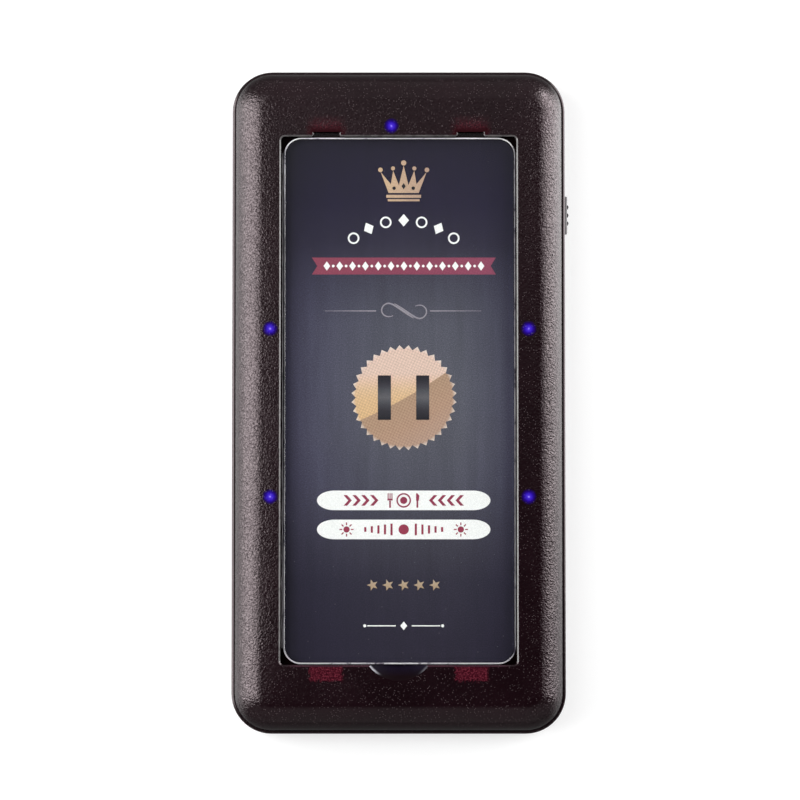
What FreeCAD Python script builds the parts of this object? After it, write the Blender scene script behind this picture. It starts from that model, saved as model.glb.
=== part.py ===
import FreeCAD, Part
import Sketcher
import math
import os
import re

# Guest pager: a flat call unit with a printed card under a clear window, five lights,
# a slide switch, and its board, battery, buzzer and vibration motor inside.
# It lies on its back with the front face up, +Y is the top end and +X the switch side.
# The origin is the centre of the flat back face. All sizes are in millimetres.

doc = FreeCAD.newDocument("GuestPager")
sheet = doc.addObject("Spreadsheet::Sheet", "Sizes")
subParts = []

driving = {
    # Card and clear window
    "cardWidth": 45.6,
    "cardLength": 103.94,
    "cardCorner": 2.6,
    "cardThickness": 0.4,
    "windowOversize": 0.2,
    "windowThickness": 1.2,
    "windowCorner": 2.8,
    "windowEdgeRound": 0.42,
    "tabWidth": 6.4,
    "tabThickness": 0.9,
    "tabPitch": 28.6,
    "upperTabReach": 1.2,
    "lowerTabReach": 3.1,
    "tabSideGap": 0.3,
    "tabFaceGap": 0.1,
    "tabEndGap": 0.6,
    "lipNotchWidth": 5.0,
    "lipNotchDepth": 0.9,
    "lipNotchRound": 0.5,
    # Opening and card recess in the front shell
    "openingSideGap": 0.35,
    "openingEndGap": 0.13,
    "openingCorner": 0.8,
    "openingChamfer": 0.28,
    "windowSink": 0.8,
    "bedThickness": 1.0,
    "trayWall": 1.2,
    "notchSphereRadius": 13.0,
    "notchDepth": 2.3,
    "notchInset": 4.3,
    # Case
    "sideBezel": 9.85,
    "topBezel": 13.7,
    "bottomBezel": 13.7,
    "caseCorner": 8.0,
    "sideWall": 2.0,
    "frontWall": 1.8,
    "rearWall": 1.6,
    "frontEdgeRadius": 5.5,
    "rearEdgeRadius": 3.0,
    "floorRound": 1.0,
    "rimWidth": 0.5,
    "rimHeight": 0.6,
    "rimGap": 0.2,
    "rimRound": 0.42,
    "seamGap": 0.3,
    "seamDrop": 0.4,
    "tongueThickness": 0.65,
    "tongueGap": 0.15,
    "tongueLength": 1.0,
    # Board
    "boardThickness": 1.0,
    "boardMargin": 0.7,
    "partsAboveBoard": 2.2,
    "bossHoleGap": 0.3,
    # Case screws and their bosses
    "frontBossRadius": 2.5,
    "rearBossRadius": 2.8,
    "bossFromSide": 5.2,
    "bossFromEnd": 5.0,
    "bossSink": 0.5,
    "caseScrewRadius": 1.0,
    "caseScrewBite": 4.5,
    "caseHeadRadius": 1.9,
    "caseHeadHeight": 1.3,
    "counterboreRadius": 2.1,
    "counterboreDepth": 2.4,
    "screwHoleGap": 0.15,
    "pilotGap": 0.02,
    "pilotExtra": 0.4,
    "crossWidth": 0.5,
    "crossDepth": 0.7,
    # Board screws and their posts
    "postRadius": 1.7,
    "postFromSide": 3.4,
    "upperPostFromEnd": 16.0,
    "lowerPostFromEnd": 19.0,
    "boardScrewRadius": 0.8,
    "boardScrewBite": 2.8,
    "boardHeadRadius": 1.4,
    "boardHeadHeight": 1.0,
    # Lights
    "lightRadius": 1.2,
    "lightFlangeRadius": 1.5,
    "lightFlangeHeight": 0.8,
    "lightTipGap": 0.1,
    "lightSkin": 0.7,
    "lightWellGap": 0.1,
    "sideLightInset": 2.15,
    "topLightInset": 1.98,
    "topLightOffset": 1.52,
    "upperLightFromEnd": 37.9,
    "lowerLightFromEnd": 33.45,
    # Battery, its connector and leads
    "batteryWidth": 30.0,
    "batteryLength": 40.0,
    "batteryThickness": 4.4,
    "batteryCorner": 2.0,
    "batteryEdgeRound": 0.8,
    "batteryOffset": 2.0,
    "batteryY": 12.0,
    "batteryHeadroom": 1.2,
    "tapeThickness": 0.2,
    "tapeMargin": 3.0,
    "fenceThickness": 1.2,
    "fenceHeight": 1.5,
    "fenceGap": 0.3,
    "socketLength": 6.0,
    "socketWidth": 6.0,
    "socketHeight": 3.4,
    "socketWall": 0.5,
    "plugGap": 0.1,
    "plugProud": 1.0,
    "leadRadius": 0.45,
    "leadPitch": 1.5,
    "leadRun": 10.0,
    # Vibration motor
    "motorRadius": 2.2,
    "motorLength": 12.0,
    "motorFromSide": 15.2,
    "motorFromEnd": 32.0,
    "shaftRadius": 0.5,
    "shaftReach": 6.0,
    "shaftGap": 0.03,
    "bearingDepth": 3.0,
    "weightRadius": 2.4,
    "weightLength": 4.5,
    "weightHub": 1.0,
    "bootWall": 0.7,
    "bootLength": 8.0,
    "bootHeadroom": 0.2,
    "bootRibThickness": 1.0,
    "bootRibHeight": 3.0,
    "bootRibGap": 0.1,
    "motorLeadRadius": 0.3,
    "motorLeadPitch": 2.0,
    "motorLeadRun": 3.0,
    # Buzzer
    "buzzerRadius": 6.0,
    "buzzerHeight": 4.6,
    "buzzerPort": 1.0,
    "buzzerPortDepth": 1.5,
    "buzzerEdgeRound": 0.4,
    "buzzerFromSide": 17.2,
    "buzzerFromEnd": 32.0,
    "ringGap": 0.3,
    "ringWall": 0.8,
    "ringHeight": 2.2,
    "meshRadius": 5.0,
    "meshThickness": 0.15,
    "soundHoleRadius": 0.6,
    "soundHoleCircle": 3.0,
    # Slide switch
    "switchFromTop": 28.53,
    "switchDrop": 3.0,
    "switchTravel": 2.0,
    "knobLength": 7.5,
    "knobHeight": 1.8,
    "knobProud": 0.56,
    "knobRound": 0.2,
    "knobRibRadius": 0.45,
    "knobRibProud": 0.27,
    "knobRibPitch": 1.63,
    "knobFlange": 0.9,
    "knobFlangeRise": 0.8,
    "knobFlangeCover": 0.35,
    "knobWallGap": 0.1,
    "knobSlotGap": 0.15,
    "knobEndGap": 0.4,
    "slotChamfer": 0.25,
    "switchDepth": 4.0,
    "switchLength": 9.0,
    "switchHeight": 4.4,
    "switchFaceGap": 0.2,
    "stemWidth": 2.0,
    "stemHeight": 1.4,
    "stemInBody": 2.4,
    "stemInKnob": 1.7,
    "stemGap": 0.05,
    # Radio
    "antennaRadius": 2.3,
    "antennaLength": 22.0,
    "antennaFromEnd": 4.0,
    "antennaDrop": 3.0,
    "antennaRound": 0.6,
    "antennaLegRadius": 0.4,
    "radioWidth": 14.0,
    "radioLength": 14.0,
    "radioThickness": 1.9,
    "radioBase": 0.6,
    "radioShieldInset": 1.0,
    "radioFromSide": 19.2,
    "radioFromEnd": 17.0,
    # Small parts on the board
    "chipSide": 7.0,
    "chipThickness": 0.9,
    "chipFromRadio": 18.0,
    "crystalLength": 5.0,
    "crystalWidth": 3.2,
    "crystalThickness": 1.1,
    "crystalGap": 2.5,
    "chargerSide": 3.0,
    "chargerThickness": 0.9,
    "chargerFromPads": 8.0,
    "capacitorRadius": 1.6,
    "capacitorHeight": 3.2,
    "capacitorPitch": 5.0,
    "capacitorFromSide": 12.2,
    "resistorLength": 1.6,
    "resistorWidth": 0.8,
    "resistorThickness": 0.45,
    "resistorPitch": 2.0,
    "resistorFromSide": 11.2,
    "resistorFromBattery": 10.0,
    # Charging contacts
    "padRadius": 2.0,
    "padPitch": 16.0,
    "padFromEnd": 8.0,
    "padFlangeRadius": 2.8,
    "padFlangeThickness": 0.6,
    "padRecess": 0.2,
    "padHoleGap": 0.05,
    "springWidth": 2.0,
    "springStrip": 0.3,
    "springFoot": 4.0,
    "springReach": 5.0,
    "springToe": 1.5,
}

for row, (alias, length) in enumerate(driving.items(), start=1):
    sheet.set(f"A{row}", alias)
    sheet.set(f"B{row}", str(length))
    sheet.setAlias(f"B{row}", alias)
doc.recompute()

# Sizes that follow from the driving ones. x, y and z are places in the part's frame.
worked = {
    "windowWidth": "cardWidth + 2 * windowOversize",
    "windowLength": "cardLength + 2 * windowOversize",
    "openingWidth": "windowWidth + 2 * openingSideGap",
    "openingLength": "windowLength + 2 * openingEndGap",
    "caseWidth": "openingWidth + 2 * sideBezel",
    "caseLength": "openingLength + topBezel + bottomBezel",
    "windowY": "(bottomBezel - topBezel) / 2",
    "openingTop": "windowY + openingLength / 2",
    "openingFoot": "windowY - openingLength / 2",
    "cavityWidth": "caseWidth - 2 * sideWall",
    "cavityLength": "caseLength - 2 * sideWall",
    "cavityCorner": "caseCorner - sideWall",
    "frontInset": "rimWidth + rimGap",
    "frontSideWall": "sideWall - frontInset",
    "tongueInset": "sideWall - tongueThickness",
    "rebateInset": "tongueInset - tongueGap",
    "boardBottom": "rearWall + tapeThickness + batteryThickness + batteryHeadroom",
    "boardTop": "boardBottom + boardThickness",
    "bedBottom": "boardTop + partsAboveBoard",
    "bedTop": "bedBottom + bedThickness",
    "windowBottom": "bedTop + cardThickness",
    "windowTop": "windowBottom + windowThickness",
    "caseHeight": "windowTop + windowSink",
    "ceiling": "caseHeight - frontWall",
    "bossTop": "ceiling + bossSink",
    "seamLevel": "boardBottom - seamDrop",
    "footLevel": "seamLevel + seamGap",
    "tongueBottom": "seamLevel - tongueLength",
    "rebateFloor": "tongueBottom - tongueGap",
    "rimTop": "seamLevel + rimHeight",
    "bossX": "cavityWidth / 2 - bossFromSide",
    "bossY": "cavityLength / 2 - bossFromEnd",
    "postX": "cavityWidth / 2 - postFromSide",
    "upperPostY": "cavityLength / 2 - upperPostFromEnd",
    "lowerPostY": "cavityLength / 2 - lowerPostFromEnd",
    "sideLightX": "openingWidth / 2 + sideLightInset",
    "topLightY": "windowY + openingLength / 2 + topLightInset",
    "upperLightY": "openingTop - upperLightFromEnd",
    "lowerLightY": "openingFoot + lowerLightFromEnd",
    "lightWellTop": "caseHeight - lightSkin",
    "lightTip": "lightWellTop - lightTipGap",
    "boardWidth": "cavityWidth - 2 * boardMargin",
    "boardLength": "cavityLength - 2 * boardMargin",
    "batteryBottom": "rearWall + tapeThickness",
    "batteryEnd": "batteryY - batteryLength / 2",
    "leadLevel": "boardBottom - socketHeight / 2",
    "leadX": "-batteryOffset - batteryWidth / 4",
    "plugX": "leadX + leadRun",
    "plugY": "batteryEnd - leadRun + leadPitch / 2",
    "socketX": "plugX + plugProud",
    "motorLevel": "(rearWall + boardBottom) / 2",
    "motorX": "cavityWidth / 2 - motorFromSide",
    "motorY": "cavityLength / 2 - motorFromEnd",
    "motorBack": "-motorX - motorLength / 2",
    "motorFront": "-motorX + motorLength / 2",
    "bootHalf": "motorRadius + bootWall",
    "buzzerX": "cavityWidth / 2 - buzzerFromSide",
    "buzzerY": "cavityLength / 2 - buzzerFromEnd",
    "switchY": "caseLength / 2 - switchFromTop",
    "switchLevel": "boardBottom - switchDrop",
    "slotStart": "switchY - knobLength / 2 - knobEndGap",
    "slotEnd": "switchY + knobLength / 2 + switchTravel + knobEndGap",
    "flangeFace": "cavityWidth / 2 - knobWallGap",
    "flangeBack": "flangeFace - knobFlange",
    "switchFace": "flangeBack - switchFaceGap",
    "antennaY": "cavityLength / 2 - antennaFromEnd",
    "antennaLevel": "boardBottom - antennaDrop",
    "radioX": "cavityWidth / 2 - radioFromSide",
    "chipX": "chipFromRadio - radioX",
    "radioY": "cavityLength / 2 - radioFromEnd",
    "capacitorX": "cavityWidth / 2 - capacitorFromSide",
    "resistorX": "cavityWidth / 2 - resistorFromSide",
    "resistorY": "batteryEnd - resistorFromBattery",
    "padY": "padFromEnd - caseLength / 2",
    "padTop": "rearWall + padFlangeThickness",
}


def resolve(text):
    """Gives a formula in plain size names as an expression on the sheet."""
    def swap(match):
        word = match.group()
        if word in worked:
            return "(" + resolve(worked[word]) + ")"
        return "Sizes." + word if word in driving else word
    return re.sub(r"[A-Za-z]\w*", swap, text)


def size(text):
    """Gives the present value of a formula in millimetres."""
    return float(sheet.evalExpression(resolve(text)))


def bind(item, **formulas):
    """Binds properties to formulas. Two underscores stand for a dot in a property's path."""
    for path, formula in formulas.items():
        item.setExpression(path.replace("__", "."), resolve(formula))


def place(item, x="0", y="0", z="0"):
    bind(item, Placement__Base__x=x, Placement__Base__y=y, Placement__Base__z=z)


def subPart(kind, name):
    item = doc.addObject(kind, name)
    item.Label = name
    subParts.append(item)
    return item


def newBody(name):
    return subPart("PartDesign::Body", name)


# Sketches

def newSketch(body, plane="XY", level="0"):
    sketch = body.newObject("Sketcher::SketchObject", "Sketch")
    support = [item for item in body.Origin.OriginFeatures if item.Role == plane + "_Plane"]
    sketch.AttachmentSupport = [(support[0], "")]
    sketch.MapMode = "FlatFace"
    bind(sketch, AttachmentOffset__Base__z=level)
    return sketch


def dimension(sketch, constraint, formula):
    index = sketch.addConstraint(constraint)
    sketch.setExpression(f"Constraints[{index}]", resolve(formula))


def addCircle(sketch, radius, x="0", y="0"):
    centre = FreeCAD.Vector(size(x), size(y), 0)
    circle = sketch.addGeometry(Part.Circle(centre, FreeCAD.Vector(0, 0, 1), size(radius)))
    dimension(sketch, Sketcher.Constraint("DistanceX", circle, 3, size(x)), x)
    dimension(sketch, Sketcher.Constraint("DistanceY", circle, 3, size(y)), y)
    dimension(sketch, Sketcher.Constraint("Radius", circle, size(radius)), radius)


def addOutline(sketch, width, length, corner, x="0", y="0"):
    """Adds a rectangle with round corners, centred on x and y."""
    radius = size(corner)
    right, top = size(width) / 2 - radius, size(length) / 2 - radius
    middle = FreeCAD.Vector(size(x), size(y), 0)
    turns = ((1, 1, 0), (-1, 1, 90), (-1, -1, 180), (1, -1, 270))
    arcs = []
    for sideX, sideY, start in turns:
        centre = middle + FreeCAD.Vector(sideX * right, sideY * top, 0)
        ring = Part.Circle(centre, FreeCAD.Vector(0, 0, 1), radius)
        ends = math.radians(start), math.radians(start + 90)
        arcs.append(sketch.addGeometry(Part.ArcOfCircle(ring, *ends)))
    lines = []
    for arc, following in zip(arcs, arcs[1:] + arcs[:1]):
        ends = sketch.getPoint(arc, 2), sketch.getPoint(following, 1)
        lines.append(sketch.addGeometry(Part.LineSegment(*ends)))
    for arc, line, following in zip(arcs, lines, arcs[1:] + arcs[:1]):
        sketch.addConstraint(Sketcher.Constraint("Tangent", arc, 2, line, 1))
        sketch.addConstraint(Sketcher.Constraint("Tangent", line, 2, following, 1))
    for line, direction in zip(lines, ("Horizontal", "Vertical", "Horizontal", "Vertical")):
        sketch.addConstraint(Sketcher.Constraint(direction, line))
    for arc in arcs[1:]:
        sketch.addConstraint(Sketcher.Constraint("Equal", arcs[0], arc))
    dimension(sketch, Sketcher.Constraint("Radius", arcs[0], radius), corner)
    spanX = Sketcher.Constraint("DistanceX", arcs[2], 3, arcs[0], 3, 2 * right)
    spanY = Sketcher.Constraint("DistanceY", arcs[2], 3, arcs[0], 3, 2 * top)
    dimension(sketch, spanX, f"{width} - 2 * ({corner})")
    dimension(sketch, spanY, f"{length} - 2 * ({corner})")
    atX = Sketcher.Constraint("DistanceX", arcs[0], 3, size(x) + right)
    atY = Sketcher.Constraint("DistanceY", arcs[0], 3, size(y) + top)
    dimension(sketch, atX, f"{x} + ({width}) / 2 - ({corner})")
    dimension(sketch, atY, f"{y} + ({length}) / 2 - ({corner})")


def addPolygon(sketch, points):
    """Adds a closed outline of straight lines, each corner bound to its own formulas."""
    corners = [FreeCAD.Vector(size(x), size(y), 0) for x, y in points]
    lines = []
    for start, end in zip(corners, corners[1:] + corners[:1]):
        lines.append(sketch.addGeometry(Part.LineSegment(start, end)))
    for line, following in zip(lines, lines[1:] + lines[:1]):
        sketch.addConstraint(Sketcher.Constraint("Coincident", line, 2, following, 1))
    for line, corner, (x, y) in zip(lines, corners, points):
        dimension(sketch, Sketcher.Constraint("DistanceX", line, 1, corner.x), x)
        dimension(sketch, Sketcher.Constraint("DistanceY", line, 1, corner.y), y)


# Features

def pad(body, sketch, height, down=False):
    feature = body.newObject("PartDesign::Pad", "Pad")
    feature.Profile = sketch
    feature.Reversed = down
    bind(feature, Length=height)
    doc.recompute()
    return feature


def pocket(body, sketch, depth, up=False):
    """Cuts down from the sketch, or up, and makes sure that something was cut."""
    before = body.Shape.Volume
    feature = body.newObject("PartDesign::Pocket", "Pocket")
    feature.Profile = sketch
    feature.Reversed = up
    bind(feature, Length=depth)
    doc.recompute()
    if body.Shape.Volume >= before:
        raise RuntimeError(f"{body.Label}: {feature.Name} cuts nothing")
    return feature


def revolve(body, sketch):
    feature = body.newObject("PartDesign::Revolution", "Revolution")
    feature.Profile = sketch
    feature.ReferenceAxis = (sketch, ["V_Axis"])
    feature.Angle = 360
    doc.recompute()
    return feature


def edgesWhere(feature, wanted):
    """Names the edges of a feature whose middle point passes the test."""
    names = []
    for number, edge in enumerate(feature.Shape.Edges, start=1):
        middle = edge.valueAt((edge.FirstParameter + edge.LastParameter) / 2)
        if wanted(middle, edge):
            names.append(f"Edge{number}")
    return names


def edgesAtLevel(feature, level, width=None):
    """Names the level edges at a height, all of them or those no further out than a width."""
    height = size(level)
    reach = size(width) / 2 + near if width else math.inf

    def wanted(middle, edge):
        box = edge.BoundBox
        level = abs(box.ZMin - height) < near and abs(box.ZMax - height) < near
        return level and max(abs(box.XMin), abs(box.XMax)) < reach
    return edgesWhere(feature, wanted)


def finishEdges(body, kind, feature, edges, amount):
    finish = body.newObject(f"PartDesign::{kind}", kind)
    finish.Base = (feature, edges)
    bind(finish, **{"Radius" if kind == "Fillet" else "Size": amount})
    doc.recompute()
    return finish


def addBox(body, kind, xRange, yRange, zRange):
    """Adds or cuts a block between pairs of formulas. The kind is Additive or Subtractive."""
    box = body.newObject(f"PartDesign::{kind}Box", f"{kind}Box")
    for path, (low, high) in zip(("Length", "Width", "Height"), (xRange, yRange, zRange)):
        bind(box, **{path: f"{high} - ({low})"})
    place(box, xRange[0], yRange[0], zRange[0])
    doc.recompute()
    return box


# Front shell

def offsetOutline(sketch, inset, base="case"):
    """Adds the case outline drawn in by an inset, with its corners drawn in as well."""
    width, length = f"{base}Width - 2 * ({inset})", f"{base}Length - 2 * ({inset})"
    addOutline(sketch, width, length, f"caseCorner - ({inset})")


def addFrontWalls(shell):
    """Makes the hollow front, rounded inside first so that the outer round leaves a full wall."""
    outline = newSketch(shell, level="footLevel")
    offsetOutline(outline, "frontInset")
    pad(shell, outline, "caseHeight - footLevel")
    hollow = newSketch(shell, level="footLevel")
    offsetOutline(hollow, "sideWall")
    cavity = pocket(shell, hollow, "ceiling - footLevel", up=True)
    corner = edgesAtLevel(cavity, "ceiling")
    inner = finishEdges(shell, "Fillet", cavity, corner, "frontEdgeRadius - frontSideWall")
    rim = edgesAtLevel(inner, "caseHeight")
    finishEdges(shell, "Fillet", inner, rim, "frontEdgeRadius")
    tongue = newSketch(shell, level="footLevel")
    offsetOutline(tongue, "tongueInset")
    offsetOutline(tongue, "sideWall")
    pad(shell, tongue, "footLevel - tongueBottom", down=True)


def addTray(shell):
    """Adds the block that the card recess is sunk into, then the case bosses and board posts."""
    tray = newSketch(shell, level="bedBottom")
    around = "2 * (openingSideGap + trayWall)", "2 * (openingEndGap + trayWall)"
    width, length = f"windowWidth + {around[0]}", f"windowLength + {around[1]}"
    addOutline(tray, width, length, "openingCorner + trayWall", y="windowY")
    pad(shell, tray, "bossTop - bedBottom")
    bosses = newSketch(shell, level="seamLevel")
    for x, y in bossPlaces:
        addCircle(bosses, "frontBossRadius", x, y)
    pad(shell, bosses, "bossTop - seamLevel")
    posts = newSketch(shell, level="boardTop")
    for x, y in postPlaces:
        addCircle(posts, "postRadius", x, y)
    pad(shell, posts, "bossTop - boardTop")


def addOpening(shell):
    """Sinks the window opening to the card bed, with its bevel, tab slots and nail notch."""
    opening = newSketch(shell, level="caseHeight")
    addOutline(opening, "openingWidth", "openingLength", "openingCorner", y="windowY")
    recess = pocket(shell, opening, "caseHeight - bedTop")
    for side in ("-", ""):
        middle = f"{side}tabPitch / 2"
        notchRange = f"{middle} - lipNotchWidth / 2", f"{middle} + lipNotchWidth / 2"
        recess = addBox(shell, "Subtractive", notchRange, ("openingTop - lipNotchDepth", "openingTop + lipNotchDepth"),
                        ("windowBottom + tabThickness", "caseHeight"))
    top, side = size("openingTop"), size("openingWidth") / 2
    corners = edgesWhere(recess, lambda middle, edge: abs(middle.y - top) < near and edge.BoundBox.YLength < near
                         and edge.BoundBox.XLength < near and abs(middle.x) < side - size("openingCorner"))
    rounded = finishEdges(shell, "Fillet", recess, corners, "lipNotchRound")
    lip = [name for name in edgesAtLevel(rounded, "caseHeight", "openingWidth")
           if rounded.Shape.getElement(name).BoundBox.YMax < top + near]
    finishEdges(shell, "Chamfer", rounded, lip, "openingChamfer")
    for side in ("-", ""):
        middle = f"{side}tabPitch / 2"
        xRange = f"{middle} - tabWidth / 2 - tabSideGap", f"{middle} + tabWidth / 2 + tabSideGap"
        zRange = "windowBottom - tabFaceGap", "windowBottom + tabThickness + tabFaceGap"
        upper = "openingTop", "openingTop + upperTabReach + tabEndGap"
        lower = "openingFoot - lowerTabReach - tabEndGap", "openingFoot"
        addBox(shell, "Subtractive", xRange, upper, zRange)
        addBox(shell, "Subtractive", xRange, lower, zRange)
    notch = shell.newObject("PartDesign::SubtractiveSphere", "NailNotch")
    bind(notch, Radius="notchSphereRadius")
    place(notch, "0", f"openingFoot + notchInset", "caseHeight + notchSphereRadius - notchDepth")
    doc.recompute()


def addFrontHoles(shell):
    pilots = newSketch(shell, level="seamLevel")
    for x, y in bossPlaces:
        addCircle(pilots, "caseScrewRadius + pilotGap", x, y)
    pocket(shell, pilots, "caseScrewBite + pilotExtra", up=True)
    postPilots = newSketch(shell, level="boardTop")
    for x, y in postPlaces:
        addCircle(postPilots, "boardScrewRadius + pilotGap", x, y)
    pocket(shell, postPilots, "boardScrewBite + pilotExtra", up=True)
    wells = newSketch(shell, level="boardTop")
    for x, y in lightPlaces.values():
        addCircle(wells, "lightRadius + lightWellGap", x, y)
    pocket(shell, wells, "lightWellTop - boardTop", up=True)


def makeFrontShell():
    shell = newBody("front_shell")
    addFrontWalls(shell)
    addTray(shell)
    addOpening(shell)
    addFrontHoles(shell)


# Rear shell

def addRearWalls(shell):
    outline = newSketch(shell)
    offsetOutline(outline, "0")
    block = pad(shell, outline, "rimTop")
    heel = edgesAtLevel(block, "0")
    rounded = finishEdges(shell, "Fillet", block, heel, "rearEdgeRadius")
    lip = edgesAtLevel(rounded, "rimTop")
    finishEdges(shell, "Fillet", rounded, lip, "rimRound")
    hollow = newSketch(shell, level="rimTop")
    offsetOutline(hollow, "sideWall")
    cavity = pocket(shell, hollow, "rimTop - rearWall")
    corner = edgesAtLevel(cavity, "rearWall")
    finishEdges(shell, "Fillet", cavity, corner, "floorRound")
    seat = newSketch(shell, level="rimTop")
    offsetOutline(seat, "rimWidth")
    pocket(shell, seat, "rimTop - seamLevel")
    rebate = newSketch(shell, level="seamLevel")
    offsetOutline(rebate, "rebateInset")
    pocket(shell, rebate, "seamLevel - rebateFloor")


def addRearBosses(shell):
    bosses = newSketch(shell, level="rearWall / 2")
    for x, y in bossPlaces:
        addCircle(bosses, "rearBossRadius", x, y)
    pad(shell, bosses, "seamLevel - rearWall / 2")
    heads = newSketch(shell)
    holes = newSketch(shell)
    for x, y in bossPlaces:
        addCircle(heads, "counterboreRadius", x, y)
        addCircle(holes, "caseScrewRadius + screwHoleGap", x, y)
    pocket(shell, heads, "counterboreDepth", up=True)
    pocket(shell, holes, "seamLevel", up=True)


def addFloorParts(shell):
    """Adds the battery fences, the motor ribs and the buzzer's ring to the floor."""
    lowZ = "rearWall / 2"
    batteryEnds = "batteryY - batteryLength / 2 - fenceGap", "batteryY + batteryLength / 2 + fenceGap"
    fenceX = "-batteryOffset - batteryWidth / 4", "-batteryOffset + batteryWidth / 4"
    fenceZ = lowZ, "rearWall + fenceHeight"
    addBox(shell, "Additive", fenceX, (f"{batteryEnds[0]} - fenceThickness", batteryEnds[0]), fenceZ)
    addBox(shell, "Additive", fenceX, (batteryEnds[1], f"{batteryEnds[1]} + fenceThickness"), fenceZ)
    ribX = f"-motorX - bootLength / 2", f"-motorX + bootLength / 2"
    ribZ = lowZ, "rearWall + bootRibHeight"
    above = f"-motorY + bootHalf + bootRibGap"
    below = f"-motorY - bootHalf - bootRibGap"
    addBox(shell, "Additive", ribX, (above, f"{above} + bootRibThickness"), ribZ)
    addBox(shell, "Additive", ribX, (f"{below} - bootRibThickness", below), ribZ)
    ring = newSketch(shell, level="rearWall")
    addCircle(ring, "buzzerRadius + ringGap + ringWall", "buzzerX", "-buzzerY")
    addCircle(ring, "buzzerRadius + ringGap", "buzzerX", "-buzzerY")
    pad(shell, ring, "ringHeight")


def addRearHoles(shell):
    """Cuts the sound holes, the charging pad holes and the knob's slot."""
    holes = newSketch(shell)
    addCircle(holes, "soundHoleRadius", "buzzerX", "-buzzerY")
    for step in range(soundHoles):
        turn = f"{360 * step / soundHoles}"
        x, y = f"soundHoleCircle * cos({turn})", f"soundHoleCircle * sin({turn})"
        addCircle(holes, "soundHoleRadius", f"buzzerX + {x}", f"-buzzerY + {y}")
    for side in ("-", ""):
        addCircle(holes, "padRadius + padHoleGap", f"{side}padPitch / 2", "padY")
    pocket(shell, holes, "rearWall", up=True)
    slotHalf = "(knobHeight / 2 + knobSlotGap)"
    slotX = "cavityWidth / 2 - sideWall", "caseWidth / 2 + sideWall"
    slotZ = f"switchLevel - {slotHalf}", f"switchLevel + {slotHalf}"
    slot = addBox(shell, "Subtractive", slotX, ("slotStart", "slotEnd"), slotZ)
    face, low, high = size("caseWidth / 2"), size("slotStart"), size("slotEnd")

    def onSlot(middle, edge):
        box = edge.BoundBox
        onFace = abs(box.XMin - face) < near and abs(box.XMax - face) < near
        return onFace and box.YMin > low - near and box.YMax < high + near
    finishEdges(shell, "Chamfer", slot, edgesWhere(slot, onSlot), "slotChamfer")


def makeRearShell():
    shell = newBody("rear_shell")
    addRearWalls(shell)
    addRearBosses(shell)
    addFloorParts(shell)
    addRearHoles(shell)


# Card and clear window

def makeCard():
    card = newBody("card_insert")
    outline = newSketch(card, level="bedTop")
    addOutline(outline, "cardWidth", "cardLength", "cardCorner", y="windowY")
    pad(card, outline, "cardThickness")


def makeWindow():
    window = newBody("card_window")
    outline = newSketch(window, level="windowBottom")
    addOutline(outline, "windowWidth", "windowLength", "windowCorner", y="windowY")
    plate = pad(window, outline, "windowThickness")
    finishEdges(window, "Fillet", plate, edgesAtLevel(plate, "windowTop"), "windowEdgeRound")
    for side in ("-", ""):
        middle = f"{side}tabPitch / 2"
        xRange = f"{middle} - tabWidth / 2", f"{middle} + tabWidth / 2"
        zRange = "windowBottom", "windowBottom + tabThickness"
        root = "(openingEndGap + windowCorner)"
        addBox(window, "Additive", xRange, (f"openingTop - {root}", f"openingTop + upperTabReach"), zRange)
        addBox(window, "Additive", xRange, (f"openingFoot - lowerTabReach", f"openingFoot + {root}"), zRange)


# Board and what stands on its front

def makeBoard():
    board = newBody("main_board")
    outline = newSketch(board, level="boardBottom")
    addOutline(outline, "boardWidth", "boardLength", "cavityCorner - boardMargin")
    for x, y in bossPlaces:
        addCircle(outline, "frontBossRadius + bossHoleGap", x, y)
    for x, y in postPlaces:
        addCircle(outline, "boardScrewRadius + screwHoleGap", x, y)
    pad(board, outline, "boardThickness")


def makeLight(name, x, y):
    """Makes a lamp with a domed tip and a flange that sits on the board."""
    light = newBody(name)
    place(light, x, y, "boardTop")
    profile = newSketch(light, plane="XZ")
    tip = size("lightTip - boardTop")
    radius, flange, step = size("lightRadius"), size("lightFlangeRadius"), size("lightFlangeHeight")
    shoulder = FreeCAD.Vector(0, tip - radius, 0)
    corners = [(0, 0), (flange, 0), (flange, step), (radius, step), (radius, tip - radius)]
    points = [FreeCAD.Vector(*corner, 0) for corner in corners]
    lines = [profile.addGeometry(Part.LineSegment(*pair)) for pair in zip(points, points[1:])]
    ring = Part.Circle(shoulder, FreeCAD.Vector(0, 0, 1), radius)
    dome = profile.addGeometry(Part.ArcOfCircle(ring, 0, math.radians(90)))
    axis = profile.addGeometry(Part.LineSegment(FreeCAD.Vector(0, tip, 0), points[0]))
    chain = lines + [dome, axis]
    for line, following in zip(chain, chain[1:] + chain[:1]):
        profile.addConstraint(Sketcher.Constraint("Coincident", line, 2, following, 1))
    profile.addConstraint(Sketcher.Constraint("Coincident", lines[0], 1, -1, 1))
    for line in (lines[0], lines[2]):
        profile.addConstraint(Sketcher.Constraint("Horizontal", line))
    for line in (lines[1], lines[3]):
        profile.addConstraint(Sketcher.Constraint("Vertical", line))
    for end, line in ((3, dome), (2, dome)):
        profile.addConstraint(Sketcher.Constraint("PointOnObject", line, end, -2))
    dimension(profile, Sketcher.Constraint("DistanceX", lines[0], 1, lines[0], 2, flange), "lightFlangeRadius")
    dimension(profile, Sketcher.Constraint("DistanceY", lines[1], 1, lines[1], 2, step), "lightFlangeHeight")
    dimension(profile, Sketcher.Constraint("Radius", dome, radius), "lightRadius")
    dimension(profile, Sketcher.Constraint("DistanceY", dome, 2, tip), "lightTip - boardTop")
    profile.addConstraint(Sketcher.Constraint("Horizontal", dome, 1, dome, 3))
    revolve(light, profile)


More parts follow.
